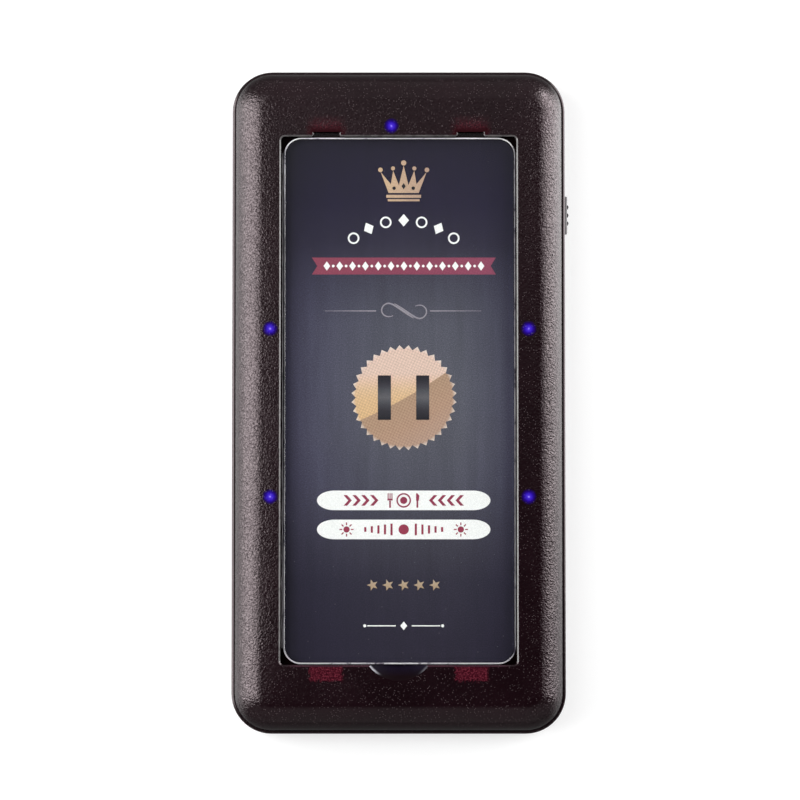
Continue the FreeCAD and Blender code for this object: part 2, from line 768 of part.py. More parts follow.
def addSolid(kind, **formulas):
    """Adds a plain block or cylinder that is a piece of another item."""
    item = doc.addObject(f"Part::{kind}", kind)
    bind(item, **formulas)
    return item


def blockBetween(xRange, yRange, zRange):
    sides = [f"{high} - ({low})" for low, high in (xRange, yRange, zRange)]
    item = addSolid("Box", Length=sides[0], Width=sides[1], Height=sides[2])
    place(item, xRange[0], yRange[0], zRange[0])
    return item


def post(radius, low, high, x="0", y="0"):
    item = addSolid("Cylinder", Radius=radius, Height=f"{high} - ({low})")
    place(item, x, y, low)
    return item


def rod(radius, xLow, xHigh, y, z):
    """Makes a cylinder that runs along X."""
    item = addSolid("Cylinder", Radius=radius, Height=f"{xHigh} - ({xLow})")
    item.Placement.Rotation = FreeCAD.Rotation(FreeCAD.Vector(0, 1, 0), 90)
    place(item, xLow, y, z)
    return item


def fuse(shapes, name=None):
    item = subPart("Part::MultiFuse", name) if name else doc.addObject("Part::MultiFuse", "Fuse")
    item.Shapes = shapes
    return item


def cut(base, tool, name=None):
    item = subPart("Part::Cut", name) if name else doc.addObject("Part::Cut", "Cut")
    item.Base = base
    item.Tool = tool
    return item


def group(name, pieces):
    item = subPart("Part::Compound", name)
    item.Links = pieces


def namedBlock(name, xRange, yRange, zRange):
    """Makes a sub-part that is one block between pairs of formulas."""
    block = subPart("Part::Box", name)
    for path, (low, high) in zip(("Length", "Width", "Height"), (xRange, yRange, zRange)):
        bind(block, **{path: f"{high} - ({low})"})
    place(block, xRange[0], yRange[0], zRange[0])


def around(middle, width):
    """Gives the two ends of a width about its middle, as formulas."""
    return f"{middle} - ({width}) / 2", f"{middle} + ({width}) / 2"


# Screws

def makeScrews(name, places, radius, headRadius, headLow, headHigh, tip):
    """Makes a group of upright screws whose heads, with a cross recess, face the back."""
    screws = []
    for x, y in places:
        blank = fuse([post(headRadius, headLow, headHigh, x, y), post(radius, headHigh, tip, x, y)])
        recess = f"{headLow}", f"{headLow} + crossDepth"
        arms = "crossWidth", f"2 * {radius}"
        first = blockBetween(around(x, arms[0]), around(y, arms[1]), recess)
        second = blockBetween(around(x, arms[1]), around(y, arms[0]), recess)
        screws.append(cut(blank, fuse([first, second])))
    group(name, screws)


# Battery, connector and leads

def makeBattery():
    battery = newBody("battery_cell")
    outline = newSketch(battery, level="batteryBottom")
    addOutline(outline, "batteryWidth", "batteryLength", "batteryCorner", "-batteryOffset", "batteryY")
    block = pad(battery, outline, "batteryThickness")
    rims = edgesAtLevel(block, "batteryBottom") + edgesAtLevel(block, "batteryBottom + batteryThickness")
    finishEdges(battery, "Fillet", block, rims, "batteryEdgeRound")
    width, length = "batteryWidth - 2 * tapeMargin", "batteryLength - 2 * tapeMargin"
    tapeZ = "rearWall", "batteryBottom"
    namedBlock("battery_tape", around("-batteryOffset", width), around("batteryY", length), tapeZ)


def makeConnector():
    """Makes the socket under the board, open towards -X, and the plug in it."""
    socketEnd = "socketX + socketLength"
    roof = "boardBottom - socketHeight", "boardBottom"
    outer = blockBetween(("socketX", socketEnd), around("plugY", "socketWidth"), roof)
    bore = "socketWidth - 2 * socketWall", "socketHeight - 2 * socketWall"
    boreX = "socketX", f"{socketEnd} - socketWall"
    inner = blockBetween(boreX, around("plugY", bore[0]), around("leadLevel", bore[1]))
    cut(outer, inner, "battery_socket")
    plugX = "plugX", f"{socketEnd} - socketWall - plugGap"
    plugY = around("plugY", f"{bore[0]} - 2 * plugGap")
    namedBlock("battery_plug", plugX, plugY, around("leadLevel", f"{bore[1]} - 2 * plugGap"))


def makeTube(name, route, radius):
    """Makes a wire along straight runs joined by tangent arcs, each as large as its runs allow."""
    points = [FreeCAD.Vector(*(size(value) for value in point)) for point in route]
    edges, start = [], points[0]
    for before, corner, after in zip(points, points[1:], points[2:]):
        inward, outward = before - corner, after - corner
        turn = math.pi - inward.getAngle(outward)
        reach = arcShare * min(inward.Length, outward.Length)
        inward.normalize()
        outward.normalize()
        bend = reach / math.tan(turn / 2)
        halfway = (inward + outward).normalize()
        middle = corner + halfway * (bend / math.cos(turn / 2) - bend)
        first, last = corner + inward * reach, corner + outward * reach
        edges += [Part.LineSegment(start, first).toShape(), Part.Arc(first, middle, last).toShape()]
        start = last
        print(f"{name}: bend radius {bend:.2f} mm on a {2 * size(radius):.2f} mm wire")
    edges.append(Part.LineSegment(start, points[-1]).toShape())
    path = Part.Wire(edges)
    ring = Part.Circle(points[0], points[1] - points[0], size(radius)).toShape()
    tube = subPart("Part::Feature", name)
    tube.Shape = path.makePipeShell([Part.Wire([ring])], True, False)
    expected = math.pi * size(radius) ** 2 * path.Length
    print(f"{name}: volume {tube.Shape.Volume:.3f}, section times length {expected:.3f}")
    return tube


def makeBatteryLeads():
    for name, step in (("battery_lead_red", "0"), ("battery_lead_black", "leadPitch")):
        x, y = f"leadX + {step}", f"batteryEnd - leadRun + {step}"
        route = [(x, "batteryEnd", "leadLevel"), (x, y, "leadLevel"), ("plugX", y, "leadLevel")]
        makeTube(name, route, "leadRadius")


# Vibration motor

def makeMotor():
    can = rod("motorRadius", "motorBack", "motorFront", "-motorY", "motorLevel")
    bearing = rod("shaftRadius + shaftGap", "motorFront - bearingDepth", "motorFront", "-motorY", "motorLevel")
    cut(can, bearing, "motor_can")
    shaft = subPart("Part::Cylinder", "motor_shaft")
    bind(shaft, Radius="shaftRadius", Height="bearingDepth - shaftGap + shaftReach")
    shaft.Placement.Rotation = FreeCAD.Rotation(FreeCAD.Vector(0, 1, 0), 90)
    place(shaft, "motorFront - bearingDepth + shaftGap", "-motorY", "motorLevel")
    weightX = "motorFront + shaftReach - weightLength", "motorFront + shaftReach"
    disc = rod("weightRadius", *weightX, "-motorY", "motorLevel")
    lowerHalf = blockBetween(weightX, around("-motorY", "2 * weightRadius"), ("motorLevel - weightRadius", "motorLevel"))
    half = doc.addObject("Part::Common", "HalfDisc")
    half.Base = disc
    half.Tool = lowerHalf
    hub = rod("weightHub", *weightX, "-motorY", "motorLevel")
    bore = rod("shaftRadius", *weightX, "-motorY", "motorLevel")
    cut(fuse([half, hub]), bore, "motor_weight")
    bootX = around("-motorX", "bootLength")
    block = blockBetween(bootX, around("-motorY", "2 * bootHalf"), ("rearWall", "boardBottom - bootHeadroom"))
    seat = rod("motorRadius + pilotGap", *bootX, "-motorY", "motorLevel")
    cut(block, seat, "motor_boot")
    for side in ("-", ""):
        y = f"-motorY {side or '+'} motorLeadPitch / 2"
        bend = "motorBack - motorLeadRun"
        route = [("motorBack", y, "motorLevel"), (bend, y, "motorLevel"), (bend, y, "boardBottom")]
        makeTube("motor_lead_black" if side else "motor_lead_red", route, "motorLeadRadius")


# Buzzer

def makeBuzzer():
    buzzer = newBody("buzzer")
    outline = newSketch(buzzer, level="boardBottom")
    addCircle(outline, "buzzerRadius", "buzzerX", "-buzzerY")
    drum = pad(buzzer, outline, "buzzerHeight", down=True)
    rim = edgesAtLevel(drum, "boardBottom - buzzerHeight")
    finishEdges(buzzer, "Fillet", drum, rim, "buzzerEdgeRound")
    port = newSketch(buzzer, level="boardBottom - buzzerHeight")
    addCircle(port, "buzzerPort", "buzzerX", "-buzzerY")
    pocket(buzzer, port, "buzzerPortDepth", up=True)
    mesh = subPart("Part::Cylinder", "sound_mesh")
    bind(mesh, Radius="meshRadius", Height="meshThickness")
    place(mesh, "buzzerX", "-buzzerY", "rearWall")


# Slide switch

def makeSwitch():
    centre = "(switchY + switchTravel / 2)"
    bodyX = "switchFace - switchDepth", "switchFace"
    bodyZ = "boardBottom - switchHeight", "boardBottom"
    block = blockBetween(bodyX, around(centre, "switchLength"), bodyZ)
    slotX = "switchFace - stemInBody", "switchFace"
    slotY = around(centre, "stemWidth + switchTravel + 2 * knobEndGap")
    slot = blockBetween(slotX, slotY, around("switchLevel", "stemHeight + 2 * stemGap"))
    cut(block, slot, "switch_body")
    stemX = "switchFace - stemInBody + stemGap", "flangeBack + stemInKnob"
    namedBlock("switch_slider", stemX, around("switchY", "stemWidth"), around("switchLevel", "stemHeight"))


def makeKnob():
    """Makes the knob: a bar through the slot, grip ribs, and a flange behind the wall."""
    knob = newBody("switch_knob")
    cover = "switchTravel + knobFlangeCover"
    flangeY = f"slotStart - {cover}", "slotEnd + knobFlangeCover"
    flangeZ = around("switchLevel", "knobHeight + 2 * knobFlangeRise")
    addBox(knob, "Additive", ("flangeBack", "flangeFace"), flangeY, flangeZ)
    face = "caseWidth / 2 + knobProud"
    bar = addBox(knob, "Additive", ("flangeBack", face), around("switchY", "knobLength"),
                 around("switchLevel", "knobHeight"))
    reach = size(face)
    rim = edgesWhere(bar, lambda middle, edge: abs(middle.x - reach) < near)
    finishEdges(knob, "Fillet", bar, rim, "knobRound")
    for step in ("-knobRibPitch", "0", "knobRibPitch"):
        rib = knob.newObject("PartDesign::AdditiveCylinder", "Rib")
        bind(rib, Radius="knobRibRadius", Height="knobHeight - 2 * knobRound")
        place(rib, f"{face} + knobRibProud - knobRibRadius", f"switchY + {step}",
              "switchLevel - knobHeight / 2 + knobRound")
        doc.recompute()
    socketX = "flangeBack", "flangeBack + stemInKnob"
    addBox(knob, "Subtractive", socketX, around("switchY", "stemWidth + 2 * stemGap"),
           around("switchLevel", "stemHeight + 2 * stemGap"))


# Radio

def makeRadio():
    """Makes the antenna, a sleeved coil on two legs, and the radio module with its shield."""
    antenna = newBody("antenna_coil")
    ring = newSketch(antenna, plane="YZ", level="-antennaLength / 2")
    addCircle(ring, "antennaRadius", "antennaY", "antennaLevel")
    coil = pad(antenna, ring, "antennaLength")
    half = size("antennaLength / 2")
    ends = edgesWhere(coil, lambda middle, edge: abs(abs(middle.x) - half) < near)
    finishEdges(antenna, "Fillet", coil, ends, "antennaRound")
    legs = newSketch(antenna, level="antennaLevel")
    for side in ("-", ""):
        addCircle(legs, "antennaLegRadius", f"{side}(antennaLength / 2 - antennaRadius)", "antennaY")
    pad(antenna, legs, "boardBottom - antennaLevel")
    base = blockBetween(around("-radioX", "radioWidth"), around("radioY", "radioLength"),
                        ("boardBottom - radioBase", "boardBottom"))
    shield = blockBetween(around("-radioX", "radioWidth - 2 * radioShieldInset"),
                          around("radioY", "radioLength - 2 * radioShieldInset"),
                          ("boardBottom - radioThickness", "boardBottom - radioBase"))
    fuse([base, shield], "radio_module")


# Small parts under the board

def underBoard(name, x, y, width, length, thickness):
    namedBlock(name, around(x, width), around(y, length), (f"boardBottom - {thickness}", "boardBottom"))


def makeSmallParts():
    underBoard("controller_chip", "chipX", "radioY", "chipSide", "chipSide", "chipThickness")
    crystalY = "radioY - chipSide / 2 - crystalGap"
    underBoard("crystal", "chipX", crystalY, "crystalLength", "crystalWidth", "crystalThickness")
    chargerY = "padY + chargerFromPads"
    underBoard("charger_chip", "0", chargerY, "chargerSide", "chargerSide", "chargerThickness")
    capacitors = []
    resistors = []
    for step in range(capacitorCount):
        y = f"batteryY - {step} * capacitorPitch"
        capacitors.append(post("capacitorRadius", "boardBottom - capacitorHeight", "boardBottom", "capacitorX", y))
    for step in range(resistorCount):
        x = around(f"{step} * resistorPitch - resistorX", "resistorWidth")
        y = around("resistorY", "resistorLength")
        resistors.append(blockBetween(x, y, ("boardBottom - resistorThickness", "boardBottom")))
    group("capacitors", capacitors)
    group("resistors", resistors)


# Charging contacts

def makeContacts():
    for side, name in (("-", "left"), ("", "right")):
        x = f"{side}padPitch / 2"
        plug = post("padRadius", "padRecess", "rearWall", x, "padY")
        flange = post("padFlangeRadius", "rearWall", "padTop", x, "padY")
        fuse([plug, flange], f"charge_pad_{name}")
        spring = newBody(f"contact_spring_{name}")
        strip = newSketch(spring, plane="YZ", level=f"{x} - springWidth / 2")
        toeTip, toeBack = around("padY", "springToe")
        knee = "padY + springReach"
        foot = f"{knee} + springFoot"
        addPolygon(strip, [
            (foot, "boardBottom"),
            (f"{knee} - springStrip / 2", "boardBottom"),
            (f"{toeBack} - springStrip / 2", "padTop + springStrip"),
            (toeTip, "padTop + springStrip"),
            (toeTip, "padTop"),
            (toeBack, "padTop"),
            (knee, "boardBottom - springStrip"),
            (foot, "boardBottom - springStrip"),
        ])
        pad(spring, strip, "springWidth")


near = 1e-4
arcShare = 0.45
soundHoles = 6
capacitorCount = 2
resistorCount = 6
signs = [(x, y) for x in ("-", "") for y in ("-", "")]
bossPlaces = [(f"{x}bossX", f"{y}bossY") for x, y in signs]
postPlaces = [(f"{x}postX", y) for x in ("-", "") for y in ("-lowerPostY", "upperPostY")]
lightPlaces = {
    "led_top": ("-topLightOffset", "topLightY"),
    "led_left_upper": ("-sideLightX", "upperLightY"),
    "led_left_lower": ("-sideLightX", "lowerLightY"),
    "led_right_upper": ("sideLightX", "upperLightY"),
    "led_right_lower": ("sideLightX", "lowerLightY"),
}

makeFrontShell()
makeRearShell()
makeCard()
makeWindow()
makeBoard()
for name, (x, y) in lightPlaces.items():
    makeLight(name, x, y)
makeScrews("case_screws", bossPlaces, "caseScrewRadius", "caseHeadRadius",
           "counterboreDepth - caseHeadHeight", "counterboreDepth", "seamLevel + caseScrewBite")
makeScrews("board_screws", postPlaces, "boardScrewRadius", "boardHeadRadius",
           "boardBottom - boardHeadHeight", "boardBottom", "boardTop + boardScrewBite")
makeBattery()
makeConnector()
makeBatteryLeads()
makeMotor()
makeBuzzer()
makeSwitch()
makeKnob()
makeRadio()
makeSmallParts()
makeContacts()
doc.recompute()

for item in doc.Objects:
    if "Invalid" in item.State or "Error" in item.State:
        raise RuntimeError(f"{item.Label} is {item.State}")
for item in subParts:
    if item.Shape.isNull() or not item.Shape.isValid():
        raise RuntimeError(f"{item.Label} has no valid shape")
os.makedirs("parts", exist_ok=True)
for item in subParts:
    item.Shape.exportStep(f"parts/{item.Label}.step")
    print(f"{item.Label}: {len(item.Shape.Solids)} solid(s), {item.Shape.Volume:.2f} mm3")
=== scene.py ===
import math

import bmesh
import bpy
from mathutils import Matrix, Vector


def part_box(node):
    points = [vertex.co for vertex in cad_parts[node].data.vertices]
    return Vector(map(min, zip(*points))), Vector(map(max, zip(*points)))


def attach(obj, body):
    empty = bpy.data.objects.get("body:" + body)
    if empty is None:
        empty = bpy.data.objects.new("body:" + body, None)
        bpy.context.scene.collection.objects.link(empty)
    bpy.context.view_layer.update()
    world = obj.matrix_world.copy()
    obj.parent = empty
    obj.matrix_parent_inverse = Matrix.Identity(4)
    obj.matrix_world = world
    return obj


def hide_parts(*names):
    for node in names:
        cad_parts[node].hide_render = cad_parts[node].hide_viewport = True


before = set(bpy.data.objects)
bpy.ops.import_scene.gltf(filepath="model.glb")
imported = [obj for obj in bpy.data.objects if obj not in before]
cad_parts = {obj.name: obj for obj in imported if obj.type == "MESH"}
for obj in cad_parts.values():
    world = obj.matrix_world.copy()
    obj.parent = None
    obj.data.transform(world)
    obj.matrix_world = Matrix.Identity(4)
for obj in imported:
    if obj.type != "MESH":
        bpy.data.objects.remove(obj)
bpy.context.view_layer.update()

scene = bpy.context.scene
mm = 0.001
print("frame loaded:", len(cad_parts), "nodes")


def newMaterial(name):
    material = bpy.data.materials.new(name)
    material.use_nodes = True
    tree = material.node_tree
    return material, tree, tree.nodes["Principled BSDF"]


def bareMaterial(name):
    material, tree, shader = newMaterial(name)
    tree.nodes.remove(shader)
    return material, tree


def plug(tree, socket, value):
    if isinstance(value, bpy.types.NodeSocket):
        tree.links.new(value, socket)
    elif isinstance(value, tuple) and len(value) == 3 and socket.type == "RGBA":
        socket.default_value = (*value, 1)
    else:
        socket.default_value = value


def addNode(tree, kind, inputs=None, **settings):
    made = tree.nodes.new("ShaderNode" + kind)
    for key, value in settings.items():
        setattr(made, key, value)
    for key, value in (inputs or {}).items():
        plug(tree, made.inputs[key], value)
    return made


def calc(tree, operation, first, second=0.0):
    return addNode(tree, "Math", {0: first, 1: second}, operation=operation).outputs[0]


def times(tree, first, *others):
    for other in others:
        first = calc(tree, "MULTIPLY", first, other)
    return first


def objectPlace(tree):
    return addNode(tree, "TexCoord").outputs["Object"]


def axesOf(tree, place):
    return addNode(tree, "SeparateXYZ", {"Vector": place}).outputs


def ramp(tree, factor, stops):
    made = addNode(tree, "ValToRGB", {"Fac": factor})
    band = made.color_ramp
    while len(band.elements) < len(stops):
        band.elements.new(0.5)
    for element, (position, colour) in zip(band.elements, stops):
        element.position = position
        element.color = (*colour, 1) if isinstance(colour, tuple) else (colour, colour, colour, 1)
    return made.outputs["Color"]


def mixColour(tree, factor, first, second, blend="MIX"):
    made = addNode(tree, "Mix", data_type="RGBA", blend_type=blend)
    plug(tree, made.inputs["Factor"], factor)
    plug(tree, made.inputs[6], first)
    plug(tree, made.inputs[7], second)
    return made.outputs[2]


def noise(tree, place, scale, detail=2.0, roughness=0.5, distortion=0.0):
    return addNode(tree, "TexNoise", {"Vector": place, "Scale": scale, "Detail": detail,
                                      "Roughness": roughness, "Distortion": distortion}).outputs["Fac"]


def cells(tree, place, scale, randomness=1.0):
    return addNode(tree, "TexVoronoi", {"Vector": place, "Scale": scale,
                                        "Randomness": randomness}).outputs["Distance"]


def bump(tree, shader, height, strength, distance):
    made = addNode(tree, "Bump", {"Height": height, "Strength": strength, "Distance": distance})
    tree.links.new(made.outputs["Normal"], shader.inputs["Normal"])


def span(tree, value, low, high, outLow=0.0, outHigh=1.0, ease="LINEAR"):
    return addNode(tree, "MapRange", {"Value": value, "From Min": low, "From Max": high,
                                      "To Min": outLow, "To Max": outHigh},
                   interpolation_type=ease).outputs["Result"]


def pieceFrom(bm, name, material=None):
    mesh = bpy.data.meshes.new(name)
    bm.to_mesh(mesh)
    bm.free()
    if material:
        mesh.materials.append(material)
    piece = bpy.data.objects.new(name, mesh)
    scene.collection.objects.link(piece)
    return piece


def raiseFaces(bm, height):
    grown = bmesh.ops.extrude_face_region(bm, geom=bm.faces[:])["geom"]
    top = [g for g in grown if isinstance(g, bmesh.types.BMVert)]
    bmesh.ops.translate(bm, vec=(0, 0, height), verts=top)
    return top


def smoothFaces(mesh, sharp):
    for face in mesh.polygons:
        face.use_smooth = True
    mesh.set_sharp_from_angle(angle=math.radians(sharp))


camera = {"away": 0.760, "lean": 3.1, "frameWidth": 159.5 * mm, "frameLevel": 7.0 * mm,
          "aim": (0.26 * mm, 0.32 * mm)}


def makeCamera(c):
    lean = math.radians(c["lean"])
    target = Vector((c["aim"][0], c["aim"][1], c["frameLevel"]))
    back = Vector((0, -math.sin(lean), math.cos(lean)))
    data = bpy.data.cameras.new("photoCamera")
    data.sensor_width = 36
    data.lens = 36 * c["away"] / c["frameWidth"]
    data.clip_start, data.clip_end = 0.01, 20
    eye = bpy.data.objects.new("photoCamera", data)
    eye.location = target + back * c["away"]
    eye.rotation_euler = back.to_track_quat("Z", "Y").to_euler()
    scene.collection.objects.link(eye)
    scene.camera = eye


# panels face the object; angles in degrees, elevation from the floor
lamps = {
    "leftPanel": {"azimuth": 173, "low": 0, "high": 50, "spread": 26, "away": 0.9, "glow": 4.9},
    "rightPanel": {"azimuth": 25, "low": 0, "high": 38, "spread": 26, "away": 0.9, "glow": 5.4},
    "leftUpper": {"azimuth": 173, "low": 51, "high": 75, "spread": 28, "away": 1.0, "glow": 4.0},
    "rightUpper": {"azimuth": 25, "low": 39, "high": 58, "spread": 28, "away": 1.0, "glow": 1.8},
    "leftTop": {"azimuth": 173, "low": 76, "high": 83, "spread": 28, "away": 1.1, "glow": 1.6},
}
surround = {"head": 0.30, "foot": 0.24, "overhead": 0.02, "headRise": (0.03, 0.17), "footRise": (-0.20, -0.45)}
floorLook = {"colour": 0.50, "lift": 0.62, "half": 2.5, "level": -0.05 * mm, "sideStart": 91 * mm,
             "fade": 16 * mm, "slope": 2.0, "sideReach": 80 * mm, "closeRange": (36 * mm, 58 * mm),
             "ends": 0.25, "close": 0.28, "leftSide": (0.6, 1.5), "rightSide": (0.05, 5.0)}


def makeLamps():
    for name, lamp in lamps.items():
        middle, half = (lamp["low"] + lamp["high"]) / 2, (lamp["high"] - lamp["low"]) / 2
        lift, around = math.radians(middle), math.radians(lamp["azimuth"])
        toward = Vector((math.cos(lift) * math.cos(around), math.cos(lift) * math.sin(around), math.sin(lift)))
        data = bpy.data.lights.new(name, "AREA")
        data.shape = "RECTANGLE"
        data.size = 2 * lamp["away"] * math.cos(lift) * math.tan(math.radians(lamp["spread"]))
        data.size_y = 2 * lamp["away"] * math.tan(math.radians(half))
        data.energy = lamp["glow"] * math.pi * data.size * data.size_y
        box = bpy.data.objects.new(name, data)
        box.location = toward * lamp["away"]
        box.rotation_euler = toward.to_track_quat("Z", "Y").to_euler()
        box.visible_camera = False
        scene.collection.objects.link(box)


def makeSurround():
    world = bpy.data.worlds.new("studio")
    scene.world = world
    world.use_nodes = True
    tree = world.node_tree
    backdrop = tree.nodes["Background"]
    out = tree.nodes["World Output"]
    toward = axesOf(tree, addNode(tree, "TexCoord").outputs["Generated"])["Y"]
    lowest = surround["overhead"]
    head = span(tree, toward, *surround["headRise"], 0.0, surround["head"] - lowest, ease="SMOOTHSTEP")
    foot = span(tree, toward, *surround["footRise"], 0.0, surround["foot"] - lowest, ease="SMOOTHSTEP")
    level = calc(tree, "ADD", calc(tree, "ADD", head, foot), lowest)
    plug(tree, backdrop.inputs["Color"], (1, 1, 1))
    tree.links.new(level, backdrop.inputs["Strength"])
    white = addNode(tree, "Background", {"Color": (1, 1, 1), "Strength": 1.0})
    seen = addNode(tree, "LightPath").outputs["Is Camera Ray"]
    pick = addNode(tree, "MixShader", {"Fac": seen, 1: backdrop.outputs[0], 2: white.outputs[0]})
    tree.links.new(pick.outputs[0], out.inputs["Surface"])


def makeFloor(f):
    bm = bmesh.new()
    bmesh.ops.create_grid(bm, x_segments=2, y_segments=2, size=f["half"])
    bmesh.ops.translate(bm, vec=(0, 0, f["level"]), verts=bm.verts)
    material, tree = bareMaterial("paleFloor")
    path = addNode(tree, "LightPath").outputs
    axes = axesOf(tree, objectPlace(tree))
    outward, along = calc(tree, "ABSOLUTE", axes["X"]), calc(tree, "ABSOLUTE", axes["Y"])
    # the case mirrors the floor at its sides, and hardly at its ends
    beside = calc(tree, "SUBTRACT", outward, times(tree, along, f["slope"]))
    beside = span(tree, calc(tree, "ADD", beside, f["sideStart"]), -f["fade"], f["fade"], ease="SMOOTHSTEP")
    left = span(tree, axes["Y"], -f["sideReach"], f["sideReach"], *f["leftSide"])
    right = span(tree, axes["Y"], -f["sideReach"], f["sideReach"], *f["rightSide"])
    onRight = calc(tree, "GREATER_THAN", axes["X"], 0.0)
    side = addNode(tree, "Mix", {0: onRight, 2: left, 3: right}).outputs[0]
    close = span(tree, outward, *f["closeRange"], f["close"], 1.0)
    mirrored = times(tree, path["Is Glossy Ray"], beside, side, close)
    seen = calc(tree, "MAXIMUM", path["Is Camera Ray"], path["Is Transmission Ray"])
    glow = calc(tree, "ADD", times(tree, seen, f["lift"]), mirrored)
    atEnds = times(tree, path["Is Glossy Ray"], calc(tree, "SUBTRACT", 1.0, beside))
    grey, dark = (f["colour"],) * 3, (f["colour"] * f["ends"],) * 3
    paint = addNode(tree, "BsdfDiffuse", {"Color": mixColour(tree, atEnds, grey, dark)})
    lift = addNode(tree, "Emission", {"Color": (1, 1, 1), "Strength": glow})
    both = addNode(tree, "AddShader", {0: paint.outputs[0], 1: lift.outputs[0]})
    tree.links.new(both.outputs[0], tree.nodes["Material Output"].inputs["Surface"])
    floor = pieceFrom(bm, "floor", material)


makeCamera(camera)
makeLamps()
makeSurround()
makeFloor(floorLook)
scene.view_settings.view_transform = "Standard"
print("camera, lamps and floor made")


lights = {"spots": [(-1.44, 54.37), (-25.42, 14.07), (25.72, 14.07), (-25.37, -19.17), (25.68, -19.17)],
          "radius": 1.62, "glow": 1.0, "ragged": 0.25, "dull": 0.85,
          "tones": [(0.0, (0.46, 0.36, 1.0)), (0.10, (0.150, 0.095, 0.86)), (0.20, (0.055, 0.022, 0.62)),
                    (0.353, (0.036, 0.014, 0.52)), (0.47, (0.020, 0.005, 0.38)), (0.59, (0.010, 0.002, 0.22)),
                    (0.72, (0.006, 0.001, 0.12)), (0.84, (0.003, 0.0, 0.045)), (1.0, (0.0, 0.0, 0.0))]}
tabGlow = {"across": 14.3, "halfWidth": 3.2, "lowTop": -52.5, "lowFoot": -55.4,
           "topFoot": 53.2, "topReach": 57.0, "topShare": 0.72, "ragged": 1.7}
casePaint = {"deep": (0.0050, 0.0009, 0.0020), "pale": (0.0074, 0.0015, 0.0032), "paintedGlint": (0.070, 0.054, 0.057),
             "tab": (0.030, 0.0022, 0.0062), "tabFleck": (0.118, 0.0170, 0.0290), "seam": (0.034, 0.010, 0.018),
             "under": (0.020, 0.0026, 0.0045), "inside": (0.0045, 0.0010, 0.0016), "mirror": (1.0, 0.85, 0.88),
             "roughness": 0.13, "density": 1.65, "worm": 2600, "grain": 3000, "grainDepth": 0.12 * mm,
             "sideGrain": (0.30, 0.80), "calm": 0.6}


def tabPatches(tree, axes, rough):
    # painted light showing through the thin shell: red patches at the low tabs, a softer glow at the top ones, and a
    # dimmer red band painted below that glow
    t = tabGlow
    fromTab = calc(tree, "SUBTRACT", calc(tree, "ABSOLUTE", axes["X"]), t["across"] * mm)
    across = calc(tree, "ADD", calc(tree, "ABSOLUTE", fromTab), rough)
    height = calc(tree, "ADD", axes["Y"], rough)
    inWidth = span(tree, across, (t["halfWidth"] + 0.3) * mm, (t["halfWidth"] - 0.2) * mm)
    overFoot = span(tree, height, (t["lowFoot"] - 0.3) * mm, (t["lowFoot"] + 0.25) * mm)
    underTop = span(tree, height, (t["lowTop"] + 0.2) * mm, (t["lowTop"] - 0.1) * mm)
    lowPatch = times(tree, overFoot, underTop, inWidth)
    wide = span(tree, across, (t["halfWidth"] + 1.2) * mm, (t["halfWidth"] - 1.6) * mm, ease="SMOOTHSTEP")
    fading = span(tree, height, t["topReach"] * mm, t["topFoot"] * mm, ease="SMOOTHSTEP")
    topPatch = times(tree, fading, span(tree, height, 50 * mm, 52 * mm), wide, t["topShare"])
    band = span(tree, across, 4.4 * mm, 2.6 * mm, ease="SMOOTHSTEP")
    bandTop = span(tree, height, 55.0 * mm, 53.3 * mm, ease="SMOOTHSTEP")
    under = times(tree, bandTop, span(tree, height, 50 * mm, 51 * mm), band)
    return lowPatch, topPatch, under


def lightReach(tree, axes, rough):
    # distance to the nearest light, as a share of its radius
    nearest = None
    for x, y in lights["spots"]:
        dx, dy = calc(tree, "SUBTRACT", axes["X"], x * mm), calc(tree, "SUBTRACT", axes["Y"], y * mm)
        away = calc(tree, "SQRT", calc(tree, "ADD", times(tree, dx, dx), times(tree, dy, dy)))
        nearest = away if nearest is None else calc(tree, "MINIMUM", nearest, away)
    nearest = calc(tree, "ADD", nearest, times(tree, rough, lights["ragged"]))
    return calc(tree, "DIVIDE", nearest, lights["radius"] * mm)


def caseRelief(tree, axes, outward, fine, worm):
    # the grain stands out on the rounded sides, and is calm on the right and foot flats
    c = casePaint
    relief = calc(tree, "ADD", worm, times(tree, fine, 0.35))
    stand = calc(tree, "ADD", span(tree, outward, 24 * mm, 28 * mm, *c["sideGrain"]),
                 span(tree, outward, 29 * mm, 32 * mm, 0.0, 1.2))
    calm = times(tree, span(tree, axes["X"], 0, 15 * mm), span(tree, axes["Y"], 45 * mm, 20 * mm))
    calm = calc(tree, "MAXIMUM", calm, span(tree, axes["Y"], -48 * mm, -54 * mm))
    calm = times(tree, calm, span(tree, outward, 29 * mm, 27.5 * mm))
    stand = times(tree, stand, calc(tree, "SUBTRACT", 1.0, times(tree, calm, c["calm"])))
    return times(tree, relief, stand)


